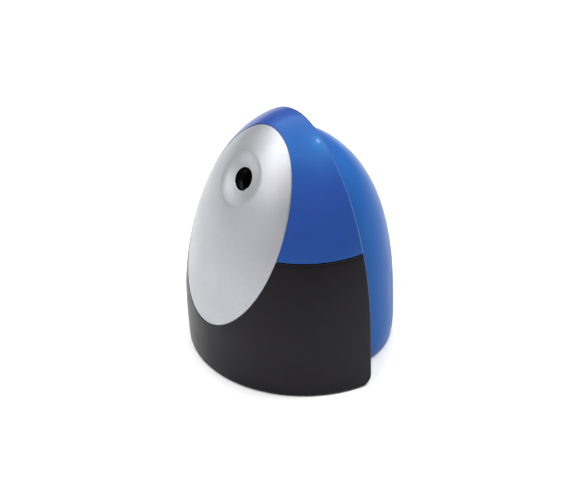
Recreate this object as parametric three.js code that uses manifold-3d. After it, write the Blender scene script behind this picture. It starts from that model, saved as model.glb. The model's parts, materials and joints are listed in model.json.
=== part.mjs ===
// A battery-powered desktop pencil sharpener, as an assembly of separate pieces.
// Millimetres, +Z up, front face towards -Y. The origin lies on the table under the
// middle of the object. The hood and the shavings bin fill the space in front of the
// step, and the narrower rear housing fills the space behind it.
import * as THREE from 'three';
import { mergeVertices } from 'three/addons/utils/BufferGeometryUtils.js';
import Module from 'manifold-3d';

const wasm = await Module();
wasm.setup();

// ---------------------------------------------------------------- driving dimensions
const HEIGHT = 105;
const SEAM_Z = 61.6; // the hood ends and the shavings bin begins
const STEP_Y = 7.73; // the step between front and rear, at the table
const LEAN = -0.02; // how far the step leans forward for each mm of height
const GAP = 0.3; // left between pieces that touch

// Half-width and depth of each body at height z: full reach at the belly, closing
// in to a point at the top, and tucked in a little at the foot.
const FRONT_WIDTH = { reach: 46.5, belly: 23, rise: 2.21, crown: 1.85, tuck: 0 };
const FRONT_DEPTH = { reach: 49.5, belly: 25.5, rise: 1.47, crown: 2.34, tuck: 1.1 };
const REAR_HEIGHT = 95;
const REAR_WIDTH = { reach: 36.3, belly: 13.4, rise: 2.92, crown: 2.57, tuck: 2.3 };
const REAR_DEPTH = { reach: 34.5, belly: 13.4, rise: 2.52, crown: 2.02, tuck: 0.3 };
const REAR_ROUNDNESS = 2.1; // exponent of the rear plan outline, 2 is an ellipse

const WALL = 2.2; // hood and bin
const REAR_WALL = 2.4;
const SKIRT = 3; // the rear housing reaches this far forward, inside the hood
const FOOT_LIFT = 0.3; // the bin and housing walls stop this far above the table

// The oval face plate, and the port that the pencil goes in by.
const TILT = THREE.MathUtils.degToRad(33);
const PLATE_Z = 68.7;
const PLATE_HALF_WIDTH = 26.9;
const PLATE_HALF_LENGTH = 42.2;
const PLATE_THICKNESS = 2.4;
const PORT_Z = 86.1;
const PORT_RADIUS = 4.7;
const DISH_RADIUS = 10.8;
const DISH_DEPTH = 2.6;
const BOSS_RADIUS = 11.5;
const BOSS_DEPTH = 5.2;

// Shavings bin.
const BIN_FLOOR_Z = 4.2;
const BIN_FLOOR = 2;
const BIN_BACK_Y = -8; // outer face of its back wall
const BIN_BACK_Z = 46;
const TONGUE = 2; // thickness of the bin's tongue behind the face plate

// Gear train behind the bulkhead: motor pinion, compound idler, cutter gear.
const MODULE = 0.75;
const PRESSURE_ANGLE = THREE.MathUtils.degToRad(25);
const ADDENDUM = 0.75 * MODULE;
const DEDENDUM = 1.05 * MODULE;
const BACKLASH = 0.14;
const PINION_TEETH = 10;
const IDLER_BIG_TEETH = 24;
const IDLER_SMALL_TEETH = 10;
const CUTTER_GEAR_TEETH = 30;
const MOTOR_X = 19.2;
const BIG_LAYER = [46.5, 49]; // depth behind the port of each gear layer
const SMALL_LAYER = [49.8, 53.4];

// Four AA cells lying across, two deep and two high.
const CELL_RADIUS = 7.1;
const CELL_BODY = 49;
const CELL_NUB = 1;
const CELL_NUB_RADIUS = 2.7;
const CELL_ROWS_Y = [2.7, 17.4];
const CELL_LAYERS_Z = [11.5, 26.2];
const CELL_SHIFT = 3.1; // each cell sits this far towards its own contact plate
const CONTACT_X = 28.5;

// Battery compartment door in the back.
const DOOR_HALF_WIDTH = 27.5;
const DOOR_LOW_Z = 7.5;
const DOOR_HIGH_Z = 34;

// ---------------------------------------------------------------- materials
function material(color, roughness, metalness = 0) {
  return new THREE.MeshStandardMaterial({ color, roughness, metalness });
}

const bluePlastic = material(0x1f4fc0, 0.3);
const blackPlastic = material(0x232325, 0.35);
const silverPlastic = material(0xb9bcc0, 0.38, 0.6);
const greyPlastic = material(0x6d7074, 0.6);
const whitePlastic = material(0xe4e2d8, 0.5);
const rubber = material(0x1c1c1c, 0.85);
const steel = material(0xc0c3c6, 0.3, 1);
const darkSteel = material(0x77797c, 0.4, 1);
const brass = material(0xc9a24e, 0.35, 1);
const cellSleeve = material(0x2f6f52, 0.4, 0.2);

// ---------------------------------------------------------------- solids
// Turns a closed three.js geometry into a solid that can be joined and cut.
function solid(geometry) {
  const plain = geometry.clone();
  plain.deleteAttribute('normal');
  plain.deleteAttribute('uv');
  const merged = mergeVertices(plain, 1e-4);
  const vertices = merged.attributes.position.array;
  const corners = merged.index.array;
  const at = (k) => new THREE.Vector3().fromArray(vertices, 3 * k);
  const triangles = [];
  let volume = 0;
  for (let t = 0; t < corners.length; t += 3) {
    const [a, b, c] = [corners[t], corners[t + 1], corners[t + 2]];
    if (a === b || b === c || c === a) continue;
    triangles.push([a, b, c]);
    volume += at(a).dot(at(b).cross(at(c)));
  }
  if (volume < 0) triangles.forEach((corner) => corner.reverse());
  return new wasm.Manifold(new wasm.Mesh({
    numProp: 3,
    vertProperties: Float32Array.from(vertices),
    triVerts: Uint32Array.from(triangles.flat()),
  }));
}

const join = (...bodies) => bodies.reduce((sum, body) => sum.add(body));
const cut = (body, ...tools) => tools.reduce((rest, tool) => rest.subtract(tool), body);

function block(x0, x1, y0, y1, z0, z1) {
  const geometry = new THREE.BoxGeometry(x1 - x0, y1 - y0, z1 - z0);
  geometry.translate((x0 + x1) / 2, (y0 + y1) / 2, (z0 + z1) / 2);
  return solid(geometry);
}

const slab = (z0, z1) => block(-70, 70, -70, 70, z0, z1);

// A stack of closed rings, each with the same number of points and anticlockwise
// from above, skinned and capped. The top cap rises to the apex where one is given.
function loft(rings, apex = null) {
  const count = rings[0].length;
  const centre = (ring) => ring
    .reduce((sum, point) => sum.add(point), new THREE.Vector3())
    .divideScalar(count);
  const points = [...rings.flat(), centre(rings[0]), apex ?? centre(rings.at(-1))];
  const [foot, head] = [points.length - 2, points.length - 1];
  const index = [];
  for (let i = 0; i < count; i += 1) {
    const next = (i + 1) % count;
    index.push(foot, next, i);
    for (let r = 0; r < rings.length - 1; r += 1) {
      const [low, high] = [r * count, (r + 1) * count];
      index.push(low + i, low + next, high + next, low + i, high + next, high + i);
    }
    const last = (rings.length - 1) * count;
    index.push(last + i, last + next, head);
  }
  const geometry = new THREE.BufferGeometry().setFromPoints(points);
  geometry.setIndex(index);
  return solid(geometry);
}

// ---------------------------------------------------------------- outer forms
const stepY = (z) => STEP_Y + LEAN * z;

function spread(form, z, top) {
  const up = THREE.MathUtils.clamp((z - form.belly) / (top - form.belly), 0, 1);
  const down = THREE.MathUtils.clamp((form.belly - z) / form.belly, 0, 1);
  return form.reach * (1 - up ** form.rise) ** (1 / form.crown) - form.tuck * down ** 2;
}

const shrunk = (form, inset) => ({ ...form, reach: form.reach - inset });

// Heights that crowd together towards the top, where the form closes in.
function heights(bottom, top, count) {
  return Array.from({ length: count }, (_, k) => {
    const left = 1 - k / count;
    return top - (top - bottom) * left ** 2;
  });
}

const RING_POINTS = 18;
const RING_COUNT = 10;
const FORM_FOOT = -2; // the forms start below the table, and are cut to height
const TOP_INSET = 1.2; // the crown is this much thicker than the wall

// Everything in front of the step, as a solid, drawn in by the inset.
function frontForm(inset = 0) {
  const top = HEIGHT - TOP_INSET * inset;
  const width = shrunk(FRONT_WIDTH, inset);
  const depth = shrunk(FRONT_DEPTH, inset);
  const rings = heights(FORM_FOOT, top, RING_COUNT).map((z) => {
    const w = spread(width, z, top);
    const d = spread(depth, z, top);
    return Array.from({ length: RING_POINTS + 1 }, (_, k) => {
      const turn = Math.PI * (k / RING_POINTS - 0.5);
      return new THREE.Vector3(w * Math.sin(turn), stepY(z) - d * Math.cos(turn), z);
    });
  });
  return loft(rings, new THREE.Vector3(0, stepY(top) - 0.2, top));
}

// Everything behind the step, with straight sides carried forward past it.
function rearForm(inset = 0, forward = SKIRT) {
  const top = REAR_HEIGHT - TOP_INSET * inset;
  const width = shrunk(REAR_WIDTH, inset);
  const depth = shrunk(REAR_DEPTH, inset);
  const power = 2 / REAR_ROUNDNESS;
  const rings = heights(FORM_FOOT, top, RING_COUNT).map((z) => {
    const w = spread(width, z, top);
    const d = spread(depth, z, top);
    const ring = [new THREE.Vector3(w, stepY(z) - forward, z)];
    for (let k = 0; k <= RING_POINTS; k += 1) {
      const turn = Math.PI * (0.5 - k / RING_POINTS);
      const across = Math.sign(Math.sin(turn)) * Math.abs(Math.sin(turn)) ** power;
      const back = Math.max(Math.cos(turn), 0) ** power;
      ring.push(new THREE.Vector3(w * across, stepY(z) + d * back, z));
    }
    ring.push(new THREE.Vector3(-w, stepY(z) - forward, z));
    return ring;
  });
  return loft(rings);
}

// A block between two planes that lean with the step.
function stepSlab(front, back, z0 = -2, z1 = HEIGHT + 5) {
  const rings = [z0, z1].map((z) => [
    new THREE.Vector3(-70, stepY(z) + front, z),
    new THREE.Vector3(70, stepY(z) + front, z),
    new THREE.Vector3(70, stepY(z) + back, z),
    new THREE.Vector3(-70, stepY(z) + back, z),
  ]);
  return loft(rings);
}

// The opening in the back of the hood and bin that the rear housing's skirt enters.
function skirtOpening(clearance) {
  const top = REAR_HEIGHT + clearance;
  const zs = [-2, REAR_WIDTH.belly, ...heights(REAR_WIDTH.belly + 8, top, RING_COUNT)];
  const rings = zs.map((z) => {
    const w = spread(REAR_WIDTH, Math.max(z, REAR_WIDTH.belly), top) + clearance;
    return [
      new THREE.Vector3(-w, stepY(z) - SKIRT - 1, z),
      new THREE.Vector3(w, stepY(z) - SKIRT - 1, z),
      new THREE.Vector3(w, stepY(z) + 2, z),
      new THREE.Vector3(-w, stepY(z) + 2, z),
    ];
  });
  return loft(rings);
}

// ---------------------------------------------------------------- tilted frames
// Local X stays across, local Y climbs the face and local Z points out of it.
function faceFrame(z) {
  const noseY = stepY(z) - spread(FRONT_DEPTH, z, HEIGHT);
  const [sin, cos] = [Math.sin(TILT), Math.cos(TILT)];
  return new THREE.Matrix4()
    .makeBasis(
      new THREE.Vector3(1, 0, 0),
      new THREE.Vector3(0, sin, cos),
      new THREE.Vector3(0, -cos, sin),
    )
    .setPosition(0, noseY, z);
}

const plateFrame = faceFrame(PLATE_Z);
const portFrame = faceFrame(PORT_Z);

function oval(grow) {
  const outline = new THREE.Shape()
    .absellipse(0, 0, PLATE_HALF_WIDTH + grow, PLATE_HALF_LENGTH + grow, 0, 2 * Math.PI);
  const geometry = new THREE.ExtrudeGeometry(
    outline,
    { depth: 90, bevelEnabled: false, curveSegments: 18 },
  );
  geometry.translate(0, 0, -60);
  geometry.applyMatrix4(plateFrame);
  return solid(geometry);
}

// Pieces round the cutter axis are placed by their depth behind the port, by x, and
// by climb, the distance up the face from the axis.
function place(geometry, x = 0, climb = 0) {
  geometry.translate(x, climb, 0);
  geometry.applyMatrix4(portFrame);
  return solid(geometry);
}

function disc(radius, near, far, { x = 0, climb = 0, sides = 18, farRadius = radius } = {}) {
  const geometry = new THREE.CylinderGeometry(radius, farRadius, far - near, sides);
  geometry.rotateX(Math.PI / 2);
  geometry.translate(0, 0, -(near + far) / 2);
  return place(geometry, x, climb);
}

function portBlock(x0, x1, climb0, climb1, near, far) {
  const geometry = new THREE.BoxGeometry(x1 - x0, climb1 - climb0, far - near);
  geometry.translate((x0 + x1) / 2, (climb0 + climb1) / 2, -(near + far) / 2);
  return place(geometry);
}

// A turned piece: the profile is [radius, depth] pairs that start and end on the axis.
function turned(profile, { x = 0, climb = 0, sides = 18 } = {}) {
  const points = profile.map(([radius, depth]) => new THREE.Vector2(radius, -depth));
  const geometry = new THREE.LatheGeometry(points, sides);
  geometry.rotateX(Math.PI / 2);
  return place(geometry, x, climb);
}

function rod(axis, radius, from, to, [a, b], sides = 16) {
  const geometry = new THREE.CylinderGeometry(radius, radius, to - from, sides);
  geometry.translate(0, (from + to) / 2, 0);
  if (axis === 'x') geometry.rotateZ(-Math.PI / 2).translate(0, a, b);
  if (axis === 'y') geometry.translate(a, 0, b);
  if (axis === 'z') geometry.rotateX(Math.PI / 2).translate(a, b, 0);
  return solid(geometry);
}

// ---------------------------------------------------------------- the assembly
const sharpener = new THREE.Group();
sharpener.name = 'pencil_sharpener';

function add(name, body, look) {
  // Joining and cutting facets can leave specks without volume beside the piece.
  const whole = body.decompose().filter((part) => part.volume() > 0.01);
  const mesh = join(...whole).getMesh();
  const geometry = new THREE.BufferGeometry();
  const positions = new Float32Array(mesh.numVert * 3);
  for (let v = 0; v < mesh.numVert; v += 1) {
    for (let k = 0; k < 3; k += 1) {
      positions[3 * v + k] = mesh.vertProperties[mesh.numProp * v + k];
    }
  }
  geometry.setAttribute('position', new THREE.BufferAttribute(positions, 3));
  geometry.setIndex(new THREE.BufferAttribute(Uint32Array.from(mesh.triVerts), 1));
  geometry.computeVertexNormals();
  const piece = new THREE.Mesh(geometry, look);
  piece.name = name;
  sharpener.add(piece);
}

const SCREW = {
  headRadius: 2.4, headHeight: 1.5, shankRadius: 1.1, pilot: 1.4,
  slotDepth: 0.7, slotReach: 1.6, slotHalf: 0.35, root: 0.4,
};
const SMALL_SCREW = {
  headRadius: 2.16, headHeight: 1.5, shankRadius: 0.88, pilot: 1.15,
  slotDepth: 0.6, slotReach: 1.4, slotHalf: 0.3, root: 0.4,
};
const span = (a, b) => [Math.min(a, b), Math.max(a, b)];

// A pan-head screw along an axis of the object. The head's inner face lies at `seat`
// and the shank runs from it in the direction `way`, +1 or -1.
function screw(axis, at, seat, way, length) {
  const { headRadius, headHeight, shankRadius, slotDepth, slotReach, slotHalf, root } = SCREW;
  const top = seat - way * headHeight;
  const head = rod(axis, headRadius, ...span(seat, top), at, 12);
  const shankSpan = span(seat - way * root, seat + way * length);
  const shank = rod(axis, shankRadius, ...shankSpan, at, 8);
  const depth = span(top - way, top + way * slotDepth);
  const [a, b] = at;
  const across = [b - slotHalf, b + slotHalf];
  const groove = block(
    a - slotReach,
    a + slotReach,
    ...(axis === 'y' ? [...depth, ...across] : [...across, ...depth]),
  );
  return cut(join(head, shank), groove);
}

// A smaller screw along the cutter axis. With `way` 1 it enters away from the port.
function portScrew(x, climb, seat, length, way = 1) {
  const { headRadius, headHeight, shankRadius, slotDepth, slotReach, slotHalf, root } = SMALL_SCREW;
  const top = seat - way * headHeight;
  const head = disc(headRadius, ...span(seat, top), { x, climb, sides: 12 });
  const shankSpan = span(seat - way * root, seat + way * length);
  const shank = disc(shankRadius, ...shankSpan, { x, climb, sides: 8 });
  const groove = portBlock(
    x - slotReach,
    x + slotReach,
    climb - slotHalf,
    climb + slotHalf,
    ...span(top - way, top + way * slotDepth),
  );
  return cut(join(head, shank), groove);
}

const smallPilot = (x, climb, near, far) => (
  disc(SMALL_SCREW.pilot, near, far, { x, climb, sides: 8 })
);

// ---------------------------------------------------------------- casing
const frontInner = frontForm(WALL);
const beforeStep = stepSlab(-80, -WALL);
const aboveSeam = slab(SEAM_Z + 0.2, HEIGHT + 5);
const belowSeam = slab(FOOT_LIFT, SEAM_Z - 0.2);

const HOOD_SCREWS = [-1, 1].map((side) => [side * 34, -3.4]);
const HOOD_BOSS = { radius: 2.9, low: 66.2, high: 73, pilotTop: 70.9 };

function makeHood() {
  const shell = cut(
    frontForm().intersect(aboveSeam),
    frontInner.intersect(beforeStep),
    skirtOpening(GAP),
    oval(0.35),
  );
  const { radius, low, high, pilotTop } = HOOD_BOSS;
  const bosses = HOOD_SCREWS.map((at) => rod('z', radius, low, high, at));
  const pilots = HOOD_SCREWS.map((at) => rod('z', SCREW.pilot, low - 1, pilotTop, at, 8));
  return cut(join(shell, join(...bosses).intersect(frontForm(1))), ...pilots);
}

// The bin's front wall is sunk behind the face plate and runs on upwards as a
// tongue, so that the plate is carried by the bin all the way to its top.
function makeBin() {
  const seat = frontForm(PLATE_THICKNESS + GAP);
  const tongueInner = frontForm(PLATE_THICKNESS + GAP + TONGUE);
  const backing = cut(frontForm(WALL - 0.2), tongueInner).intersect(oval(2.5));
  const tongue = cut(seat, tongueInner)
    .intersect(oval(-1.6))
    .intersect(slab(SEAM_Z - 12, HEIGHT));
  const cavity = frontInner
    .intersect(block(-60, 60, -60, BIN_BACK_Y - WALL, BIN_FLOOR_Z + BIN_FLOOR, 120));
  const rearBay = frontInner
    .intersect(beforeStep)
    .intersect(block(-60, 60, BIN_BACK_Y, 60, -2, 120));
  const underFloor = frontInner.intersect(beforeStep).intersect(slab(-2, BIN_FLOOR_Z));
  const aboveBack = frontInner
    .intersect(block(-60, 60, BIN_BACK_Y - WALL - 1, BIN_BACK_Y + 1, BIN_BACK_Z, 120));
  const walls = cut(
    frontForm().intersect(belowSeam),
    join(cavity, aboveBack, rearBay, underFloor),
    skirtOpening(0.5),
  );
  return cut(
    join(cut(join(walls, backing.intersect(belowSeam)), cut(oval(GAP), seat)), tongue),
    disc(BOSS_RADIUS + 0.6, -6, 14, { sides: 24 }),
  );
}

function makeFacePlate() {
  const skin = cut(frontForm(), frontForm(PLATE_THICKNESS)).intersect(oval(0));
  const boss = disc(BOSS_RADIUS, -6, BOSS_DEPTH, { sides: 24 }).intersect(frontForm());
  const dish = turned([
    [0, -4], [DISH_RADIUS + 2, -4], [DISH_RADIUS + 0.4, 0.1], [DISH_RADIUS - 1.6, 1.2],
    [PORT_RADIUS + 1.8, DISH_DEPTH], [0, DISH_DEPTH],
  ], { sides: 24 });
  return cut(join(skin, boss), dish, disc(PORT_RADIUS, -2, BOSS_DEPTH + 1));
}

const REAR_SCREWS = [-1, 1].map((side) => [side * 14, 40.6]);
const WELL = { radius: 4.2, bore: 3.1, low: 23, seat: 25 };

function makeRearHousing() {
  const halfDoorway = DOOR_HALF_WIDTH + GAP;
  const shell = cut(
    rearForm().intersect(slab(FOOT_LIFT, HEIGHT)),
    rearForm(REAR_WALL, SKIRT + 5),
    block(-halfDoorway, halfDoorway, 20, 60, DOOR_LOW_Z - GAP, DOOR_HIGH_Z + GAP),
  );
  const wells = REAR_SCREWS
    .map((at) => rod('y', WELL.radius, WELL.low, 50, at).intersect(rearForm()));
  const bores = REAR_SCREWS.flatMap((at) => [
    rod('y', WELL.bore, WELL.seat, 60, at),
    rod('y', SCREW.shankRadius + GAP, WELL.low - 2, WELL.seat + 1, at, 10),
  ]);
  return cut(join(shell, ...wells), ...bores);
}

function makeBatteryDoor() {
  const panel = cut(rearForm(), rearForm(REAR_WALL - 0.2, SKIRT + 5))
    .intersect(block(-DOOR_HALF_WIDTH, DOOR_HALF_WIDTH, 20, 60, DOOR_LOW_Z, DOOR_HIGH_Z));
  const ledges = [-10, 10].map((x) => (
    block(x - 3.5, x + 3.5, 34, 39.6, DOOR_LOW_Z, DOOR_LOW_Z + 1.4)
  ));
  const latch = block(-4, 4, 37, 40, DOOR_HIGH_Z - 5, DOOR_HIGH_Z - 0.2);
  const grip = [0, 1, 2].map((k) => rod('x', 0.9, -6, 6, [42 - 0.28 * k, 27 + 2.6 * k], 8));
  return cut(join(panel, join(...ledges, latch).intersect(rearForm(0.6))), ...grip);
}

const FEET = [['rear', 20.5, 22.5], ['front', 20.5, -22.5]].flatMap(([end, x, y]) => [
  [`foot_${end}_left`, -x, y],
  [`foot_${end}_right`, x, y],
]);
const FOOT = { radius: 5, height: 2, chamfer: 0.5 };
const BASE = { low: 1.2, high: 3.8 };
const BASE_SCREWS = [-1, 1].map((side) => [side * 33, -1.5]);

function makeBasePlate() {
  const rear = rearForm(REAR_WALL + GAP, 1);
  const tongue = frontForm(WALL + 0.9).intersect(block(-31, 31, -60, 9, 0, 10));
  const ears = block(-36.2, 36.2, -4.8, 1.9, 0, 10);
  const plate = join(rear, tongue, ears).intersect(slab(BASE.low, BASE.high));
  const recesses = FEET
    .map(([, x, y]) => rod('z', FOOT.radius + GAP, 0, FOOT.height + GAP, [x, y], 20));
  const holes = BASE_SCREWS.flatMap((at) => [
    rod('z', SCREW.shankRadius + GAP, 0, 9, at, 8),
    rod('z', SCREW.headRadius + GAP, 0, 2.4, at, 14),
  ]);
  return cut(plate, ...recesses, ...holes);
}

function makeFoot(x, y) {
  const { radius, height, chamfer } = FOOT;
  const profile = [
    [0, 0], [radius - chamfer, 0], [radius, chamfer], [radius, height], [0, height],
  ];
  const points = profile.map(([r, z]) => new THREE.Vector2(r, z));
  const geometry = new THREE.LatheGeometry(points, 20);
  geometry.rotateX(Math.PI / 2).translate(x, y, 0);
  return solid(geometry);
}

add('hood', makeHood(), bluePlastic);
add('shavings_bin', makeBin(), blackPlastic);
add('face_plate', makeFacePlate(), silverPlastic);
add('rear_housing', makeRearHousing(), bluePlastic);
add('battery_door', makeBatteryDoor(), bluePlastic);
add('base_plate', makeBasePlate(), blackPlastic);
FEET.forEach(([name, x, y]) => add(name, makeFoot(x, y), rubber));

// ---------------------------------------------------------------- gear geometry
const PITCH = (teeth) => (MODULE * teeth) / 2;
const involute = (angle) => Math.tan(angle) - angle;

// A spur gear outline whose first tooth points along `phase`.
function gearOutline(teeth, phase) {
  const pitch = PITCH(teeth);
  const base = pitch * Math.cos(PRESSURE_ANGLE);
  const root = pitch - DEDENDUM;
  const tip = pitch + ADDENDUM;
  const halfTooth = (Math.PI * MODULE / 2 - BACKLASH) / (2 * pitch);
  const spreadAt = (radius) => {
    const angle = Math.acos(Math.min(base / radius, 1));
    return halfTooth + involute(PRESSURE_ANGLE) - involute(angle);
  };
  const radii = root < base ? [root, base, pitch, tip] : [root, pitch, tip];
  const flank = radii.map((radius) => [radius, spreadAt(radius)]);
  const points = [];
  for (let tooth = 0; tooth < teeth; tooth += 1) {
    const centre = phase + (2 * Math.PI * tooth) / teeth;
    const rising = flank.map(([radius, half]) => [radius, centre - half]);
    const falling = flank.map(([radius, half]) => [radius, centre + half]).reverse();
    [...rising, ...falling].forEach(([radius, turn]) => {
      points.push(new THREE.Vector2(radius * Math.cos(turn), radius * Math.sin(turn)));
    });
  }
  return new THREE.Shape(points);
}

function gear(teeth, phase, [near, far], x = 0, climb = 0) {
  const geometry = new THREE.ExtrudeGeometry(
    gearOutline(teeth, phase),
    { depth: far - near, bevelEnabled: false },
  );
  geometry.translate(0, 0, -far);
  return place(geometry, x, climb);
}

// The idler sits where both pairs of gears are in mesh.
const FIRST_CENTRES = PITCH(PINION_TEETH) + PITCH(IDLER_BIG_TEETH);
const SECOND_CENTRES = PITCH(IDLER_SMALL_TEETH) + PITCH(CUTTER_GEAR_TEETH);
const IDLER_X = (SECOND_CENTRES ** 2 - FIRST_CENTRES ** 2 + MOTOR_X ** 2) / (2 * MOTOR_X);
const IDLER_CLIMB = -Math.sqrt(SECOND_CENTRES ** 2 - IDLER_X ** 2);
const toIdler = Math.atan2(IDLER_CLIMB, IDLER_X);
const toPinion = Math.atan2(-IDLER_CLIMB, MOTOR_X - IDLER_X);
const halfPitch = (teeth) => Math.PI / teeth;
const IDLER = { x: IDLER_X, climb: IDLER_CLIMB };

// ---------------------------------------------------------------- cutter
const CARRIER = { radius: 8.6, near: 14.2, far: 38, mouth: 4.7, shaft: 3, end: 55.6 };
const CONE = { near: 16.5, far: 36, wide: 4.6, narrow: 0.6 };
const SLOT_BITE = 0.35;
const BLADE = { thickness: 0.5, width: 7.6, length: 18 };
const BLADE_SCREW_DEPTH = 26;
const BLADE_SCREW_CLIMB = 4.9;
const CUTTER_MIDDLE = (CONE.near + CONE.far) / 2;
const bladeTilt = Math.atan((CONE.wide - CONE.narrow) / (CONE.far - CONE.near));
const coneAt = (depth) => CONE.wide - (depth - CONE.near) * Math.tan(bladeTilt);

// A block lying on the cutter's flat: `lift` is measured outwards from the flat.
function onFlat(lift0, lift1, climb0, climb1, length) {
  const geometry = new THREE.BoxGeometry(lift1 - lift0, climb1 - climb0, length);
  geometry.translate((lift0 + lift1) / 2, (climb0 + climb1) / 2, 0);
  geometry.rotateY(bladeTilt);
  geometry.translate(coneAt(CUTTER_MIDDLE) - SLOT_BITE, 0, -CUTTER_MIDDLE);
  return place(geometry);
}

function onFlatRod(radius, lift0, lift1, sides = 12) {
  const geometry = new THREE.CylinderGeometry(radius, radius, lift1 - lift0, sides);
  geometry.rotateZ(-Math.PI / 2);
  geometry.translate(
    (lift0 + lift1) / 2,
    BLADE_SCREW_CLIMB,
    CUTTER_MIDDLE - BLADE_SCREW_DEPTH,
  );
  geometry.rotateY(bladeTilt);
  geometry.translate(coneAt(CUTTER_MIDDLE) - SLOT_BITE, 0, -CUTTER_MIDDLE);
  return place(geometry);
}

function makeCarrier() {
  const { radius, near, far, mouth, shaft, end } = CARRIER;
  const body = turned([
    [0, end], [shaft, end], [shaft, far], [radius, far], [radius, near + 1], [radius - 1, near],
    [mouth + 0.3, near], [CONE.wide, CONE.near], [CONE.narrow, CONE.far], [0, CONE.far],
  ]);
  return cut(body, onFlat(0, 14, -12, 12, 19.6), onFlatRod(1.3, -3.4, 1, 10));
}

function makeBlade() {
  const plate = onFlat(GAP, GAP + BLADE.thickness, 0, BLADE.width, BLADE.length);
  return cut(plate, onFlatRod(1.4, -1, 2, 10));
}

function makeBladeScrew() {
  const seat = 2 * GAP + BLADE.thickness;
  return join(onFlatRod(2, seat, seat + 1.1), onFlatRod(1, -2.8, seat + 0.3, 8));
}

function makeCutterGear() {
  const [near] = SMALL_LAYER;
  const hub = disc(4.8, near - 0.9, near + 1);
  const wheel = join(gear(CUTTER_GEAR_TEETH, toIdler, SMALL_LAYER), hub);
  return cut(wheel, disc(CARRIER.shaft + GAP, 40, 60));
}

const BULKHEAD = { near: 42, far: 44.4 };
const BUSH = { radius: 5, flange: 6.2, near: 40.4 };

function makeBush() {
  const body = join(
    disc(BUSH.radius, BUSH.near, BULKHEAD.far + 1, { sides: 20 }),
    disc(BUSH.flange, BUSH.near, BULKHEAD.near - GAP, { sides: 20 }),
  );
  return cut(body, disc(CARRIER.shaft + 0.15, 38, 60));
}

add('cutter_carrier', makeCarrier(), darkSteel);
add('cutter_blade', makeBlade(), steel);
add('blade_screw', makeBladeScrew(), steel);
add('cutter_gear', makeCutterGear(), whitePlastic);
add('cutter_bush', makeBush(), brass);

// ---------------------------------------------------------------- idler and motor
const IDLER_AXLE = 1.1;

function makeIdler() {
  const wheel = join(
    gear(IDLER_BIG_TEETH, toPinion, BIG_LAYER, IDLER.x, IDLER.climb),
    gear(
      IDLER_SMALL_TEETH,
      toIdler + Math.PI + halfPitch(IDLER_SMALL_TEETH),
      [BIG_LAYER[1] - 0.2, SMALL_LAYER[1]],
      IDLER.x,
      IDLER.climb,
    ),
  );
  return cut(wheel, disc(IDLER_AXLE + 0.2, 40, 60, { ...IDLER, sides: 12 }));
}

const MOTOR = { radius: 8.4, near: 20, far: 41.5, boss: 3, shaft: 1, end: 49 };
const MOTOR_AT = { x: MOTOR_X };
const MOTOR_SCREWS = [[MOTOR_X + 4.6, 4.6], [MOTOR_X - 4.6, -4.6]];

function makeMotorCan() {
  const { radius, near, far, boss, shaft } = MOTOR;
  const body = join(
    disc(radius, near, far, MOTOR_AT),
    disc(boss, far - 1, far + 1.8, { ...MOTOR_AT, sides: 16 }),
  );
  return cut(
    body,
    disc(shaft + GAP, far - 8, far + 3, { ...MOTOR_AT, sides: 12 }),
    ...MOTOR_SCREWS.map(([x, climb]) => disc(1.2, far - 2.5, far + 1, { x, climb, sides: 8 })),
  );
}

function makeMotorCap() {
  const { near } = MOTOR;
  const cap = disc(6.8, near - 2.4, near - GAP, { ...MOTOR_AT, sides: 20 });
  const tabs = [-1, 1].map((side) => portBlock(
    MOTOR_X + side * 3.6 - 0.3, MOTOR_X + side * 3.6 + 0.3, -1.2, 1.2, near - 5.4, near - 2,
  ));
  return join(cap, ...tabs);
}

function makePinion() {
  const phase = toPinion + Math.PI + halfPitch(PINION_TEETH);
  const wheel = gear(PINION_TEETH, phase, [BIG_LAYER[0] - 0.2, BIG_LAYER[1] + 0.2], MOTOR_X);
  return cut(wheel, disc(MOTOR.shaft + GAP, 40, 60, { ...MOTOR_AT, sides: 8 }));
}

add('idler_gear', makeIdler(), whitePlastic);
add('idler_axle', disc(IDLER_AXLE, 42.6, 55.6, { ...IDLER, sides: 12 }), steel);
add('motor_can', makeMotorCan(), darkSteel);
add('motor_cap', makeMotorCap(), whitePlastic);
add('motor_shaft', disc(MOTOR.shaft, MOTOR.far - 7.5, MOTOR.end, { ...MOTOR_AT, sides: 12 }), steel);
add('motor_pinion', makePinion(), brass);

// ---------------------------------------------------------------- chassis
const CHASSIS = {
  wall: 2, half: 31.3, front: -7, top: 36, low: 4.1, sideBack: 3.2, sideTop: 65.8,
};
const COVER_SCREWS = [[-16.9, -2], [2, 16.9], [-6, -16]];
const SHROUD_SCREWS = [[-12.7, 2.4], [0, 12.9]];
const REAR_BOSS = { radius: 3.2, near: 16.5, far: 22.7 };

function mirrored(half) {
  return join(half, half.mirror([1, 0, 0]));
}

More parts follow.
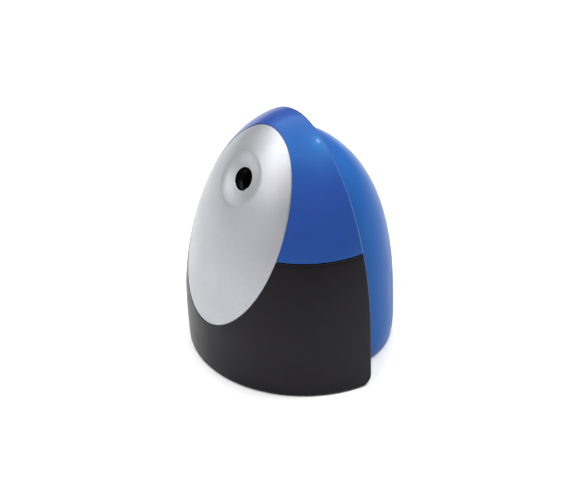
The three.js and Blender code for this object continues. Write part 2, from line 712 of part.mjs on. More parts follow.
function makeChassis() {
  const { wall, half, front, top, low, sideBack, sideTop } = CHASSIS;
  const box = join(
    block(-half, half, front, front + wall, low, top),
    block(-half, half, front, 27, top - wall, top),
    mirrored(block(half - wall, half, front, 27, low, top)),
  );
  const sides = mirrored(join(
    block(half - wall, half, front, sideBack, top - 1, sideTop),
    block(half - wall, 37.5, front, -0.4, sideTop - 2.4, sideTop).intersect(frontForm(WALL + 0.5)),
    rod('z', 2.9, low, 16, BASE_SCREWS[1]),
    join(
      rod('y', REAR_BOSS.radius, REAR_BOSS.near, REAR_BOSS.far, REAR_SCREWS[1]),
      block(12.6, 15.4, REAR_BOSS.near, REAR_BOSS.far, top - 1, REAR_SCREWS[1][1]),
    ),
  ));
  const bulkhead = join(
    portBlock(-half, half, -22.5, 19.8, BULKHEAD.near, BULKHEAD.far),
    block(-half, half, -1.4, 0.9, top - 1, 46),
  );
  const room = join(
    rearForm(REAR_WALL + 0.4, 14),
    block(-half, half, front - 1, sideBack, 0, 64),
    block(-40, 40, front - 1, 2, 0, HEIGHT).intersect(frontForm(WALL + 0.4)),
  );
  const pilots = [
    ...MOTOR_SCREWS.map(([x, climb]) => disc(1.2, 40, 46, { x, climb, sides: 8 })),
    ...[...COVER_SCREWS, ...SHROUD_SCREWS].map(([x, climb]) => smallPilot(x, climb, 40, 46)),
    ...BASE_SCREWS.map((at) => rod('z', SCREW.pilot, 0, 14, at, 8)),
    ...REAR_SCREWS.map((at) => rod('y', SCREW.pilot, 17.5, 24, at, 8)),
    ...HOOD_SCREWS.map((at) => rod('z', SCREW.pilot, 60, 70, at, 8)),
  ];
  return cut(
    join(box, sides, bulkhead).intersect(room),
    disc(BUSH.radius + GAP, 40, 48),
    disc(MOTOR.boss + GAP, 40, 48, { ...MOTOR_AT, sides: 16 }),
    disc(IDLER_AXLE + GAP, 42.3, 48, { ...IDLER, sides: 12 }),
    block(-25.3, -11.7, -3, 2, top + 0.1, top + 6.5),
    ...pilots,
  );
}

// A half tube over the cutter, open below so that shavings fall into the bin.
const SHROUD = { radius: 10.4, bore: 9.3, near: 11.5, far: 41.7, ring: 13.2 };
const LEVER_PIVOT = { climb: -11.7, depth: 21.5, radius: 0.8 };
const GUIDE = { near: 6, far: 13.6, radius: 6.9, flange: 8.8, flangeNear: 9.8 };

function makeShroud() {
  const { radius, bore, near, far, ring } = SHROUD;
  const arch = cut(disc(radius, near, far), disc(bore, ring, far + 1))
    .intersect(portBlock(-20, 20, -2, 20, near - 1, far + 1));
  const collar = disc(radius, near, ring);
  const lugs = SHROUD_SCREWS.map(([x, climb]) => cut(
    disc(3.2, far - 2.4, far, { x, climb, sides: 16 }),
    disc(bore, ring, far + 1),
  ));
  const bracket = join(
    portBlock(-11.9, -9.6, -20, -0.5, 13.6, 24),
    portBlock(-11.9, -8.4, -20, -12, near, 13.2),
    portBlock(-11.9, -5, -12, -6, near, ring),
    portBlock(-11.9, -9.6, -20, -6, near, 15),
  );
  return cut(
    join(arch, collar, ...lugs, cut(bracket, disc(bore, ring, far))),
    disc(GUIDE.radius + 0.4, near - 1, ring + 1),
    ...SHROUD_SCREWS.map(([x, climb]) => smallPilot(x, climb, far - 4, far + 1)),
    leverRod(LEVER_PIVOT.radius + 0.2, -13, -8),
  );
}

// A rod across the object at the start lever's pivot.
function leverRod(radius, x0, x1, sides = 12) {
  const geometry = new THREE.CylinderGeometry(radius, radius, x1 - x0, sides);
  geometry.rotateZ(-Math.PI / 2);
  geometry.translate((x0 + x1) / 2, LEVER_PIVOT.climb, -LEVER_PIVOT.depth);
  return place(geometry);
}

function makeCover() {
  const outer = join(
    disc(14.4, 44.8, 56.2),
    disc(11.2, 44.8, 56.2, IDLER),
    disc(6, 44.8, 51, MOTOR_AT),
    ...COVER_SCREWS.map(([x, climb]) => disc(3.2, 44.8, 47.2, { x, climb, sides: 12 })),
  );
  const inner = join(
    disc(12.9, 40, 54.4),
    disc(9.9, 40, 54.4, IDLER),
    disc(4.8, 40, 49.6, MOTOR_AT),
    disc(3.1, 40, 47, { x: MOTOR_SCREWS[0][0], climb: MOTOR_SCREWS[0][1] }),
  );
  return cut(
    outer,
    inner,
    disc(CARRIER.shaft + 0.2, 50, 60),
    disc(IDLER_AXLE + GAP, 50, 60, { ...IDLER, sides: 12 }),
    ...COVER_SCREWS.map(([x, climb]) => smallPilot(x, climb, 40, 50)),
  );
}

function makeGuide() {
  const { near, far, radius, flange, flangeNear } = GUIDE;
  const body = join(
    disc(radius, near, far),
    disc(flange, flangeNear, SHROUD.near - GAP),
  );
  return cut(
    body,
    disc(PORT_RADIUS, near - 1, far + 1),
    disc(PORT_RADIUS + 1.6, near - 0.6, near + 1, { farRadius: PORT_RADIUS }),
    portBlock(-1.7, 1.7, -9, -3, near - 1, flangeNear - 0.2),
  );
}

add('chassis', makeChassis(), greyPlastic);
add('cutter_shroud', makeShroud(), greyPlastic);
add('gear_cover', makeCover(), greyPlastic);
add('pencil_guide', makeGuide(), blackPlastic);

// ---------------------------------------------------------------- switches
const LEVER = { half: 1.1, tipNear: 7.6, tipFar: 9.2, tip: -3.9, low: -12.4 };

function makeStartLever() {
  const { half, tipNear, tipFar, tip, low } = LEVER;
  const body = join(
    portBlock(-half, half, low, tip - 0.6, tipNear, tipFar),
    disc(half, tipNear, tipFar, { climb: tip - 0.6, sides: 12 }),
    portBlock(-half, half, low, low + 1.3, tipNear, LEVER_PIVOT.depth),
    leverRod(1.8, -half, half),
  );
  return cut(body, leverRod(LEVER_PIVOT.radius + 0.2, -3, 3));
}

add('start_lever', makeStartLever(), whitePlastic);
add('start_lever_pin', leverRod(LEVER_PIVOT.radius, -11.8, 2.2), steel);
add('start_switch', join(
  portBlock(-9.3, 3.4, -19.8, -14.2, 13.8, 19.8),
  portBlock(-0.8, 0.8, -14.4, -13.2, 15, 16.6),
), blackPlastic);

const PLUNGER_AT = [-18, CHASSIS.top + 3.4];
const PLUNGER_RADIUS = 1.3;
add('bin_switch', cut(
  block(-25, -12, -5, 1.2, CHASSIS.top + GAP, CHASSIS.top + 6.2),
  rod('y', PLUNGER_RADIUS + GAP, -6, -2.6, PLUNGER_AT, 12),
), blackPlastic);
const plunger = rod('y', PLUNGER_RADIUS, BIN_BACK_Y + GAP, -4, PLUNGER_AT, 12);
add('bin_switch_plunger', plunger, whitePlastic);

// ---------------------------------------------------------------- cells and contacts
const spots = CELL_LAYERS_Z.flatMap((z, layer) => CELL_ROWS_Y.map((y, row) => ({
  y,
  z,
  name: `${['lower', 'upper'][layer]}_${['front', 'rear'][row]}`,
  way: (layer + row) % 2 === 0 ? 1 : -1, // the end that its nub points to
})));

function makeCell({ y, z, way }) {
  const half = (CELL_BODY + CELL_NUB) / 2;
  const profile = [
    [0, -half], [CELL_RADIUS - 0.6, -half], [CELL_RADIUS, -half + 0.6],
    [CELL_RADIUS, half - CELL_NUB - 0.6], [CELL_RADIUS - 0.6, half - CELL_NUB],
    [CELL_NUB_RADIUS, half - CELL_NUB], [CELL_NUB_RADIUS, half], [0, half],
  ];
  const points = profile.map(([r, x]) => new THREE.Vector2(r, x));
  const geometry = new THREE.LatheGeometry(points, 14);
  geometry.rotateZ(-way * Math.PI / 2);
  geometry.translate(way * CELL_SHIFT, y, z);
  return solid(geometry);
}

// A conical coil between a cell's flat end and its contact plate.
class CoilCurve extends THREE.Curve {
  constructor(from, to, wide, narrow, turns) {
    super();
    Object.assign(this, { from, to, wide, narrow, turns });
  }

  getPoint(t, target = new THREE.Vector3()) {
    const turn = 2 * Math.PI * this.turns * t;
    const radius = THREE.MathUtils.lerp(this.wide, this.narrow, t);
    const x = THREE.MathUtils.lerp(this.from, this.to, t);
    return target.set(x, radius * Math.cos(turn), radius * Math.sin(turn));
  }
}

const WIRE = 0.35;
const WIRE_SIDES = 5;

function makeSpring({ y, z, way }) {
  const far = -way * (CONTACT_X - GAP - WIRE);
  const near = -way * ((CELL_BODY + CELL_NUB) / 2 - CELL_SHIFT + GAP + WIRE);
  const section = new THREE.Shape();
  for (let k = 0; k < WIRE_SIDES; k += 1) {
    const turn = (2 * Math.PI * k) / WIRE_SIDES;
    const [a, b] = [WIRE * Math.cos(turn), WIRE * Math.sin(turn)];
    if (k === 0) section.moveTo(a, b);
    else section.lineTo(a, b);
  }
  const geometry = new THREE.ExtrudeGeometry(section, {
    steps: 16,
    extrudePath: new CoilCurve(far, near, 4.2, 2.2, 2.5),
    bevelEnabled: false,
  });
  geometry.translate(0, y, z);
  return solid(geometry);
}

const [lowZ, highZ] = CELL_LAYERS_Z;
const [frontY, rearY] = CELL_ROWS_Y;
const STRIP = { half: 4.6, thickness: 0.5 };

function contact(side, y0, y1, z0, z1) {
  const { half, thickness } = STRIP;
  const across = span(side * CONTACT_X, side * (CONTACT_X + thickness));
  return block(...across, y0 - half, y1 + half, z0 - half, z1 + half);
}

spots.forEach((spot) => {
  add(`cell_${spot.name}`, makeCell(spot), cellSleeve);
  add(`cell_spring_${spot.name}`, makeSpring(spot), steel);
});
add('contact_link_front', contact(-1, frontY, frontY, lowZ, highZ), brass);
add('contact_link_rear', contact(-1, rearY, rearY, lowZ, highZ), brass);
add('contact_link_lower', contact(1, frontY, rearY, lowZ, lowZ), brass);
add('contact_plus', contact(1, frontY, frontY, highZ, highZ), brass);
add('contact_minus', contact(1, rearY, rearY, highZ, highZ), brass);

// ---------------------------------------------------------------- screws
const SIDES = ['left', 'right'];
HOOD_SCREWS.forEach((at, k) => {
  add(`hood_screw_${SIDES[k]}`, screw('z', at, CHASSIS.sideTop - 2.4 - GAP, 1, 7.4), steel);
});
BASE_SCREWS.forEach((at, k) => {
  add(`base_screw_${SIDES[k]}`, screw('z', at, 2.1, 1, 9), steel);
});
REAR_SCREWS.forEach((at, k) => {
  add(`rear_screw_${SIDES[k]}`, screw('y', at, WELL.seat + GAP, -1, 6.8), steel);
});
MOTOR_SCREWS.forEach(([x, climb], k) => {
  add(`motor_screw_${k + 1}`, portScrew(x, climb, BULKHEAD.far + GAP, 5, -1), steel);
});
SHROUD_SCREWS.forEach(([x, climb], k) => {
  add(`shroud_screw_${k + 1}`, portScrew(x, climb, SHROUD.far - 2.7, 5), steel);
});
COVER_SCREWS.forEach(([x, climb], k) => {
  add(`cover_screw_${k + 1}`, portScrew(x, climb, 47.5, 4.6, -1), steel);
});

export default sharpener;
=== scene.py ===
"""Looks of a battery-powered desktop pencil sharpener, built round its CAD frame.

Metres, +Z up, front towards -Y. The hood and the shavings bin share one smooth form in
front of the step, and the rear housing has its own form behind it. The fine pieces are
made from the same formulas as the CAD, with many more steps and with rounded edges.
"""
import json
import math

import bmesh
import bpy
from mathutils import Matrix, Vector


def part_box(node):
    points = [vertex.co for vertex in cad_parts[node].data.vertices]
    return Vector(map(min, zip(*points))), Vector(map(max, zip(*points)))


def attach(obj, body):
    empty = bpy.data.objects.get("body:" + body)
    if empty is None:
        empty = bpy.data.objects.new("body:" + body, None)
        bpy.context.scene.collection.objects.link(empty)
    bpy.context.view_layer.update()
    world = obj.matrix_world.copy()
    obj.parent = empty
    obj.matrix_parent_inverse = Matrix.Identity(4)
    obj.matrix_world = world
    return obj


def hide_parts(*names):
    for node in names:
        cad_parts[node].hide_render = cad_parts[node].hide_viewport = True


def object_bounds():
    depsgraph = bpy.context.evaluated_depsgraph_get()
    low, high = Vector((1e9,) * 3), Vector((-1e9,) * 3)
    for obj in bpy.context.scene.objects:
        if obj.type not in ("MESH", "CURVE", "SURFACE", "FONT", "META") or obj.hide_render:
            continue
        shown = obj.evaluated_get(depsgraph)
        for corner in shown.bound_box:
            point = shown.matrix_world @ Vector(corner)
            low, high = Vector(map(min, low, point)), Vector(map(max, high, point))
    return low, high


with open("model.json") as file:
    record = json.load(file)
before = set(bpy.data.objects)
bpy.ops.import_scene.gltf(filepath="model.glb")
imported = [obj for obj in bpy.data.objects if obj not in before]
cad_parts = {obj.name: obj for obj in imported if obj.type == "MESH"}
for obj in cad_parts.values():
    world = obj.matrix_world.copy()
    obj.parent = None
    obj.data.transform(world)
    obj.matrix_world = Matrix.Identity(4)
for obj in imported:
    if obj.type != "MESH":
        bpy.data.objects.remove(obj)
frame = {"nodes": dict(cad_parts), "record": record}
CAD_LOW, CAD_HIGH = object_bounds()

# ---------------------------------------------------------------- driving dimensions
MM = 0.001
HEIGHT = CAD_HIGH.z
GAP = 0.3 * MM
SEAM_GAP = 0.2 * MM  # from the seam to the hood's edge, and to the bin's
SEAM_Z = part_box("hood")[0].z - SEAM_GAP
STEP_Y = 7.73 * MM  # the step between front and rear, at the table
LEAN = -0.02
WALL = 2.2 * MM
REAR_WALL = 2.4 * MM
SKIRT = 3 * MM
FOOT_LIFT = 0.3 * MM
TOP_INSET = 1.2  # the crown is this much thicker than the wall
FORM_FOOT = -2 * MM
EASE = 0.24 * MM  # keeps the smooth forms inside the faceted CAD box

FRONT_WIDTH = {"reach": 46.48 * MM, "belly": 23 * MM, "rise": 2.21, "crown": 1.85, "tuck": 0}
FRONT_DEPTH = {
    "reach": 49.5 * MM - EASE, "belly": 25.5 * MM, "rise": 1.47, "crown": 2.34, "tuck": 1.1 * MM,
}
REAR_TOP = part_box("rear_housing")[1].z
REAR_WIDTH = {
    "reach": 36.3 * MM, "belly": 13.4 * MM, "rise": 2.92, "crown": 2.57, "tuck": 2.3 * MM,
}
REAR_DEPTH = {
    "reach": 34.43 * MM, "belly": 13.4 * MM, "rise": 2.52, "crown": 2.02, "tuck": 0.3 * MM,
}
REAR_ROUNDNESS = 2.1

TILT = math.radians(33)
PLATE_Z = 68.7 * MM
PLATE_HALF_WIDTH = 26.9 * MM
PLATE_HALF_LENGTH = 42.2 * MM
PLATE_THICKNESS = 2.4 * MM
PORT_Z = 86.1 * MM
PORT_RADIUS = 4.7 * MM
DISH_RADIUS = 11.1 * MM
DISH_DEPTH = 2.6 * MM
BOSS_RADIUS = 11.5 * MM
BOSS_DEPTH = 5.2 * MM

BIN_FLOOR_Z = 4.2 * MM
BIN_FLOOR = 2 * MM
BIN_BACK_Y = -8 * MM
BIN_BACK_Z = 46 * MM

DOOR_HALF_WIDTH = 27.5 * MM
DOOR_LOW_Z = 7.5 * MM
DOOR_HIGH_Z = 34 * MM

LIP = 0.9 * MM  # rounding of the hood's and bin's rear edge
SEAM_ROUND = 0.35 * MM
PLATE_GAP = 0.15 * MM
FOOT_ROUND = 0.8 * MM
FOOT_CORNER = 4.5 * MM  # rounding of the bin's rear corner, seen from the side
AXIS = 0.02 * MM  # radius that closes a turned profile at its axis
FAR = 60 * MM  # past every surface of the object


# ---------------------------------------------------------------- mesh helpers
def mesh_object(name, vertices, faces):
    """A new object from points and faces, with the faces turned outwards."""
    mesh = bpy.data.meshes.new(name)
    mesh.from_pydata([tuple(v) for v in vertices], [], faces)
    work = bmesh.new()
    work.from_mesh(mesh)
    bmesh.ops.recalc_face_normals(work, faces=work.faces)
    work.to_mesh(mesh)
    work.free()
    piece = bpy.data.objects.new(name, mesh)
    bpy.context.scene.collection.objects.link(piece)
    return piece


def loft(name, rings, apex=None):
    """Closed rings with equal numbers of points, skinned, and capped at both ends."""
    count = len(rings[0])
    vertices = [point for ring in rings for point in ring]
    faces = [tuple(range(count))]
    for r in range(len(rings) - 1):
        for i in range(count):
            j = (i + 1) % count
            faces.append((r * count + i, r * count + j, (r + 1) * count + j, (r + 1) * count + i))
    last = (len(rings) - 1) * count
    if apex is None:
        faces.append(tuple(range(last, last + count)))
    else:
        vertices.append(apex)
        faces.extend((last + i, last + (i + 1) % count, len(vertices) - 1) for i in range(count))
    return mesh_object(name, vertices, faces)


def combine(operation, base, tools):
    """Joins the tools to the base, or cuts them from it, and uses them up."""
    for tool in tools:
        modifier = base.modifiers.new("combine", "BOOLEAN")
        modifier.operation = operation
        modifier.solver = "MANIFOLD"
        modifier.object = tool
    graph = bpy.context.evaluated_depsgraph_get()
    mesh = bpy.data.meshes.new_from_object(base.evaluated_get(graph))
    base.modifiers.clear()
    base.data = mesh
    for tool in tools:
        bpy.data.objects.remove(tool)
    return base


def join(base, *tools):
    return combine("UNION", base, tools)


def cut(base, *tools):
    return combine("DIFFERENCE", base, tools)


def common(base, *tools):
    return combine("INTERSECT", base, tools)


def block(x0, x1, y0, y1, z0, z1):
    outline = ((x0, y0), (x1, y0), (x1, y1), (x0, y1))
    return loft("block", [[Vector((x, y, z)) for x, y in outline] for z in (z0, z1)])


def slab(z0, z1):
    far = 70 * MM
    return block(-far, far, -far, far, z0, z1)


def circle(radius, sides):
    """Points of a circle about the origin, anticlockwise."""
    turns = [2 * math.pi * k / sides for k in range(sides)]
    return [(radius * math.cos(t), radius * math.sin(t)) for t in turns]


def turned(name, profile, matrix, sides=64):
    """A turned solid: (radius, height) pairs from one end to the other, on local Z."""
    rings = [
        [matrix @ Vector((x, y, height)) for x, y in circle(max(radius, AXIS), sides)]
        for radius, height in profile
    ]
    return loft(name, rings)


def plain_rod(rod):
    """The profile of a rod, for turned()."""
    return [(rod["radius"], rod["low"]), (rod["radius"], rod["high"])]


def rounded(distance, radius):
    """How far a rounded edge draws in, at this distance from where the edge would be."""
    left = min(max(radius - distance, 0.0), radius)
    return radius - math.sqrt(radius ** 2 - left ** 2)


def round_steps(radius, steps=5):
    """Distances from an edge that follow its rounding in even turns."""
    return [radius * (1 - math.cos(math.pi / 2 * k / steps)) for k in range(steps + 1)]


def lerp(a, b, t):
    return a + (b - a) * t


# ---------------------------------------------------------------- outer forms
def step_y(z):
    return STEP_Y + LEAN * z


def spread(form, z, top, inset=0.0):
    """Half-width or depth at height z: full at the belly, closing in towards the top."""
    up = min(max((z - form["belly"]) / (top - form["belly"]), 0), 1)
    down = min(max((form["belly"] - z) / form["belly"], 0), 1)
    closing = (1 - up ** form["rise"]) ** (1 / form["crown"])
    return (form["reach"] - inset) * closing - form["tuck"] * down ** 2


def heights(bottom, top, count):
    """Heights that crowd together towards the top, where the form closes in."""
    return [top - (top - bottom) * (1 - k / count) ** 2 for k in range(count)]


SIDE_STEPS = 60
CORNER_STEPS = 6
BACK_STEPS = 12


def mirrored_ring(half):
    """Closes a half section, given from the middle of the front to the middle of the back."""
    return half + [Vector((-p.x, p.y, p.z)) for p in reversed(half[1:-1])]


def front_side(z, w, d, back):
    """The curved side of a level section, up to a distance in front of the step."""
    turn_end = math.acos(back / d)
    turns = [turn_end * k / SIDE_STEPS for k in range(SIDE_STEPS + 1)]
    return [Vector((w * math.sin(t), step_y(z) - d * math.cos(t), z)) for t in turns]


def across_back(corner):
    """The straight back of a level section, from its corner to the middle."""
    middle = Vector((0, corner.y, corner.z))
    return [corner.lerp(middle, k / BACK_STEPS) for k in range(1, BACK_STEPS + 1)]


def front_ring(z, inset, back):
    """A level section of the front form, anticlockwise from the middle of the front."""
    top = HEIGHT - TOP_INSET * inset
    w, d = spread(FRONT_WIDTH, z, top, inset), spread(FRONT_DEPTH, z, top, inset)
    half = front_side(z, w, d, back)
    return mirrored_ring(half + across_back(half[-1]))


def front_solid(inset=0.0, back=0.0):
    """Everything in front of the step, or of a distance before it, drawn in by the inset."""
    top = HEIGHT - TOP_INSET * inset
    rings = [front_ring(z, inset, back) for z in heights(FORM_FOOT, top, 60)
             if spread(FRONT_DEPTH, z, top, inset) > abs(back) + 1 * MM]
    last = rings[-1][0].z
    apex = Vector((0, step_y(top) - back - 0.5 * MM, lerp(last, top, 0.9)))
    return loft("front", rings, apex)


def lip_ring(z, shrink, back):
    """A level section of the hood or bin, whose rear edge is rounded by the lip."""
    w, d = spread(FRONT_WIDTH, z, HEIGHT) - shrink, spread(FRONT_DEPTH, z, HEIGHT) - shrink
    reach = min(LIP, 0.5 * d)
    half = front_side(z, w, d, back + reach)
    turn_end = math.acos(max(1 - (HEIGHT - z) / LIP, 0))
    for k in range(1, CORNER_STEPS + 1):
        turn = turn_end * k / CORNER_STEPS
        drawn = LIP * (1 - math.cos(turn))
        away = back + reach * (1 - math.sin(turn))
        wide = spread(FRONT_WIDTH, z, HEIGHT - drawn, drawn) - shrink
        x = max(wide * math.sqrt(1 - (away / d) ** 2), 0.02 * MM)
        half.append(Vector((x, step_y(z) - away, z)))
    return mirrored_ring(half + across_back(half[-1]))


def front_shell(zs, low, high):
    """The outside of the hood or bin, with its rear lip, seam and foot rounded."""
    rings = []
    for z in zs:
        shrink = rounded(z - low["z"], low["edge"]) + rounded(high["z"] - z, high["edge"])
        back = rounded(z - low["z"], low["back"]) + rounded(high["z"] - z, high["back"])
        rings.append(lip_ring(z, shrink, back))
    return rings


def rear_half_depth(z, x, inset=0.0):
    """How far behind the step the rear form's surface lies, at x and z."""
    top = REAR_TOP - TOP_INSET * inset
    w = spread(REAR_WIDTH, z, top, inset)
    d = spread(REAR_DEPTH, z, top, inset)
    return d * max(1 - abs(x / w) ** REAR_ROUNDNESS, 0) ** (1 / REAR_ROUNDNESS)


def rear_ring(z, inset, shrink, forward):
    top = REAR_TOP - TOP_INSET * inset
    w = spread(REAR_WIDTH, z, top, inset) - shrink
    d = spread(REAR_DEPTH, z, top, inset) - shrink
    power = 2 / REAR_ROUNDNESS
    ring = [Vector((w, step_y(z) - forward, z))]
    for k in range(2 * SIDE_STEPS + 1):
        turn = math.pi * (0.5 - k / (2 * SIDE_STEPS))
        across = math.copysign(abs(math.sin(turn)) ** power, math.sin(turn))
        ring.append(Vector((w * across, step_y(z) + d * max(math.cos(turn), 0) ** power, z)))
    ring.append(Vector((-w, step_y(z) - forward, z)))
    return ring


def rear_solid(inset=0.0, forward=SKIRT, foot=FORM_FOOT, edge=0.0):
    """Everything behind the step, with its sides carried forward past it."""
    top = REAR_TOP - TOP_INSET * inset
    zs = [foot + s for s in round_steps(edge)] if edge else [foot]
    zs += heights(zs[-1], top, 64)[1:]
    rings = [rear_ring(z, inset, rounded(z - foot, edge) if edge else 0, forward) for z in zs]
    return loft("rear", rings, Vector((0, step_y(top) - forward / 2, top)))


def skirt_opening(clearance):
    """The opening in the back of the hood and bin that the rear housing's skirt enters."""
    top = REAR_TOP + clearance
    belly = REAR_WIDTH["belly"]
    rings = []
    for z in [FORM_FOOT, belly, *heights(belly + 8 * MM, top, 40)]:
        w = spread(REAR_WIDTH, max(z, belly), top) + clearance
        front = step_y(z) - SKIRT - 1 * MM
        back = step_y(z) + 2 * MM
        rings.append([Vector((-w, front, z)), Vector((w, front, z)),
                      Vector((w, back, z)), Vector((-w, back, z))])
    return loft("skirt", rings)


# ---------------------------------------------------------------- tilted frames
def face_frame(z):
    """Local X stays across, local Y climbs the face and local Z points out of it."""
    nose = Vector((0, step_y(z) - spread(FRONT_DEPTH, z, HEIGHT), z))
    climb = Vector((0, math.sin(TILT), math.cos(TILT)))
    out = Vector((0, -math.cos(TILT), math.sin(TILT)))
    turn = Matrix((Vector((1, 0, 0)), climb, out)).transposed().to_4x4()
    return Matrix.Translation(nose) @ turn


PLATE_FRAME = face_frame(PLATE_Z)
PORT_FRAME = face_frame(PORT_Z)
PORT_ON_PLATE = PLATE_FRAME.inverted() @ PORT_FRAME.translation


def oval(grow, low=-60 * MM, high=30 * MM):
    """The plate's outline as a solid along the way that the face looks."""
    a, b = PLATE_HALF_WIDTH + grow, PLATE_HALF_LENGTH + grow
    ring = [(a * x, b * y) for x, y in circle(1, 160)]
    return loft("oval", [[PLATE_FRAME @ Vector((x, y, h)) for x, y in ring] for h in (low, high)])


def disc(radius, near, far, sides=64):
    """A cylinder about the cutter axis, between two depths behind the port."""
    return turned("disc", [(radius, -far), (radius, -near)], PORT_FRAME, sides)


def inside_front(point, inset):
    """Whether a point lies inside the front form, in front of the step."""
    top = HEIGHT - TOP_INSET * inset
    if point.z >= top:
        return False
    w = spread(FRONT_WIDTH, point.z, top, inset)
    d = spread(FRONT_DEPTH, point.z, top, inset)
    if w <= 0 or d <= 0:
        return False
    return (point.x / w) ** 2 + ((step_y(point.z) - point.y) / d) ** 2 < 1


def face_height(x, climb, inset=0.0):
    """How far out of the plate's plane the front form's surface lies."""
    deep, high = -24 * MM, 12 * MM
    for _ in range(30):
        middle = (deep + high) / 2
        if inside_front(PLATE_FRAME @ Vector((x, climb, middle)), inset):
            deep = middle
        else:
            high = middle
    return deep


# ---------------------------------------------------------------- hood and bin
SIDES = ("left", "right")
HOOD_BOSS = {"radius": 2.9 * MM, "low": 66.2 * MM, "high": 73 * MM}
HOOD_PILOT = {"radius": 1.4 * MM, "low": 60 * MM, "high": 70.9 * MM}


def make_hood():
    low, high = SEAM_Z + SEAM_GAP, HEIGHT - 0.05 * MM
    zs = [low + s for s in round_steps(SEAM_ROUND)]
    zs += [z for z in heights(zs[-1], HEIGHT, 90)[1:] if z < high] + [high]
    rings = front_shell(
        zs,
        {"z": low, "edge": SEAM_ROUND, "back": SEAM_ROUND},
        {"z": HEIGHT, "edge": 0, "back": 0},
    )
    body = loft("hood_shell", rings, Vector((0, step_y(HEIGHT) - 0.75 * LIP, HEIGHT - 0.02 * MM)))
    cut(body, front_solid(WALL, WALL), skirt_opening(GAP), oval(PLATE_GAP))
    for side in SIDES:
        place = screw_place("hood", side)
        boss = turned("boss", plain_rod(HOOD_BOSS), place)
        join(body, common(boss, front_solid(1 * MM)))
        cut(body, turned("pilot", plain_rod(HOOD_PILOT), place))
    return body


def screw_place(kind, side):
    """Puts local Z on the axis of an upright screw, with the row's own heights."""
    low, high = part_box(f"{kind}_screw_{side}")
    return Matrix.Translation(((low.x + high.x) / 2, (low.y + high.y) / 2, 0))


def make_bin():
    low, high = FOOT_LIFT, SEAM_Z - SEAM_GAP
    zs = [low + s for s in round_steps(FOOT_CORNER, 9)]
    count = 46
    zs += [lerp(zs[-1], high - SEAM_ROUND, k / count) for k in range(1, count)]
    zs += [high - s for s in reversed(round_steps(SEAM_ROUND))]
    rings = front_shell(
        zs,
        {"z": low, "edge": FOOT_ROUND, "back": FOOT_CORNER},
        {"z": high, "edge": SEAM_ROUND, "back": SEAM_ROUND},
    )
    body = loft("bin_shell", rings)
    inside = BIN_BACK_Y - WALL
    over = 2 * FAR
    cavity = common(
        front_solid(WALL),
        block(-FAR, FAR, -FAR, inside, BIN_FLOOR_Z + BIN_FLOOR, over),
    )
    rear_bay = common(
        front_solid(WALL, WALL),
        block(-FAR, FAR, BIN_BACK_Y, FAR, -2 * MM, over),
    )
    under = common(front_solid(WALL, WALL), slab(-2 * MM, BIN_FLOOR_Z))
    above = common(
        front_solid(WALL),
        block(-FAR, FAR, inside - 1 * MM, BIN_BACK_Y + 1 * MM, BIN_BACK_Z, over),
    )
    cut(body, cavity, above, rear_bay, under, skirt_opening(0.5 * MM))
    sunk = PLATE_THICKNESS + GAP
    behind = sunk + 2 * MM
    past_step = -2 * MM  # clear of the step, so that no two faces coincide there
    backing = common(
        cut(front_solid(WALL - 0.2 * MM), front_solid(behind, past_step)),
        oval(2.5 * MM),
        slab(low, high),
    )
    join(body, backing)
    cut(body, cut(oval(PLATE_GAP), front_solid(sunk)))
    tongue = common(
        cut(front_solid(sunk), front_solid(behind, past_step)),
        oval(-1.6 * MM),
        slab(SEAM_Z - 12 * MM, HEIGHT),
    )
    join(body, tongue)
    return cut(body, disc(BOSS_RADIUS + 0.6 * MM, -6 * MM, 14 * MM))


# ---------------------------------------------------------------- face plate
PLATE_POINTS = 176
DISH_RINGS = 24
FACE_RINGS = 30
PLATE_EDGE = 0.55 * MM


def plate_reach(turn):
    """Distance from the port's axis to the plate's outline, in one direction."""
    a, b = PLATE_HALF_WIDTH, PLATE_HALF_LENGTH
    dx, dy, y0 = math.cos(turn), math.sin(turn), PORT_ON_PLATE.y
    p = (dx / a) ** 2 + (dy / b) ** 2
    q = dy * y0 / b ** 2
    r = (y0 / b) ** 2 - 1
    return (-q + math.sqrt(q * q - p * r)) / p


def dish_height(x, climb, radius):
    """The plate's face about the port: a bowl that meets the curved face all round."""
    share = min(max((radius - PORT_RADIUS) / (DISH_RADIUS - PORT_RADIUS), 0), 1)
    soft_rim = share ** 2 * (3 - 2 * share)
    rise = lerp(share ** 1.6, soft_rim, 0.2)
    return lerp(PORT_ON_PLATE.z - DISH_DEPTH, face_height(x, climb), rise)


def plate_ring(radius_at, height_at):
    ring = []
    for k in range(PLATE_POINTS):
        turn = 2 * math.pi * k / PLATE_POINTS
        radius = radius_at(turn)
        x, climb = radius * math.cos(turn), PORT_ON_PLATE.y + radius * math.sin(turn)
        ring.append(PLATE_FRAME @ Vector((x, climb, height_at(x, climb, radius))))
    return ring


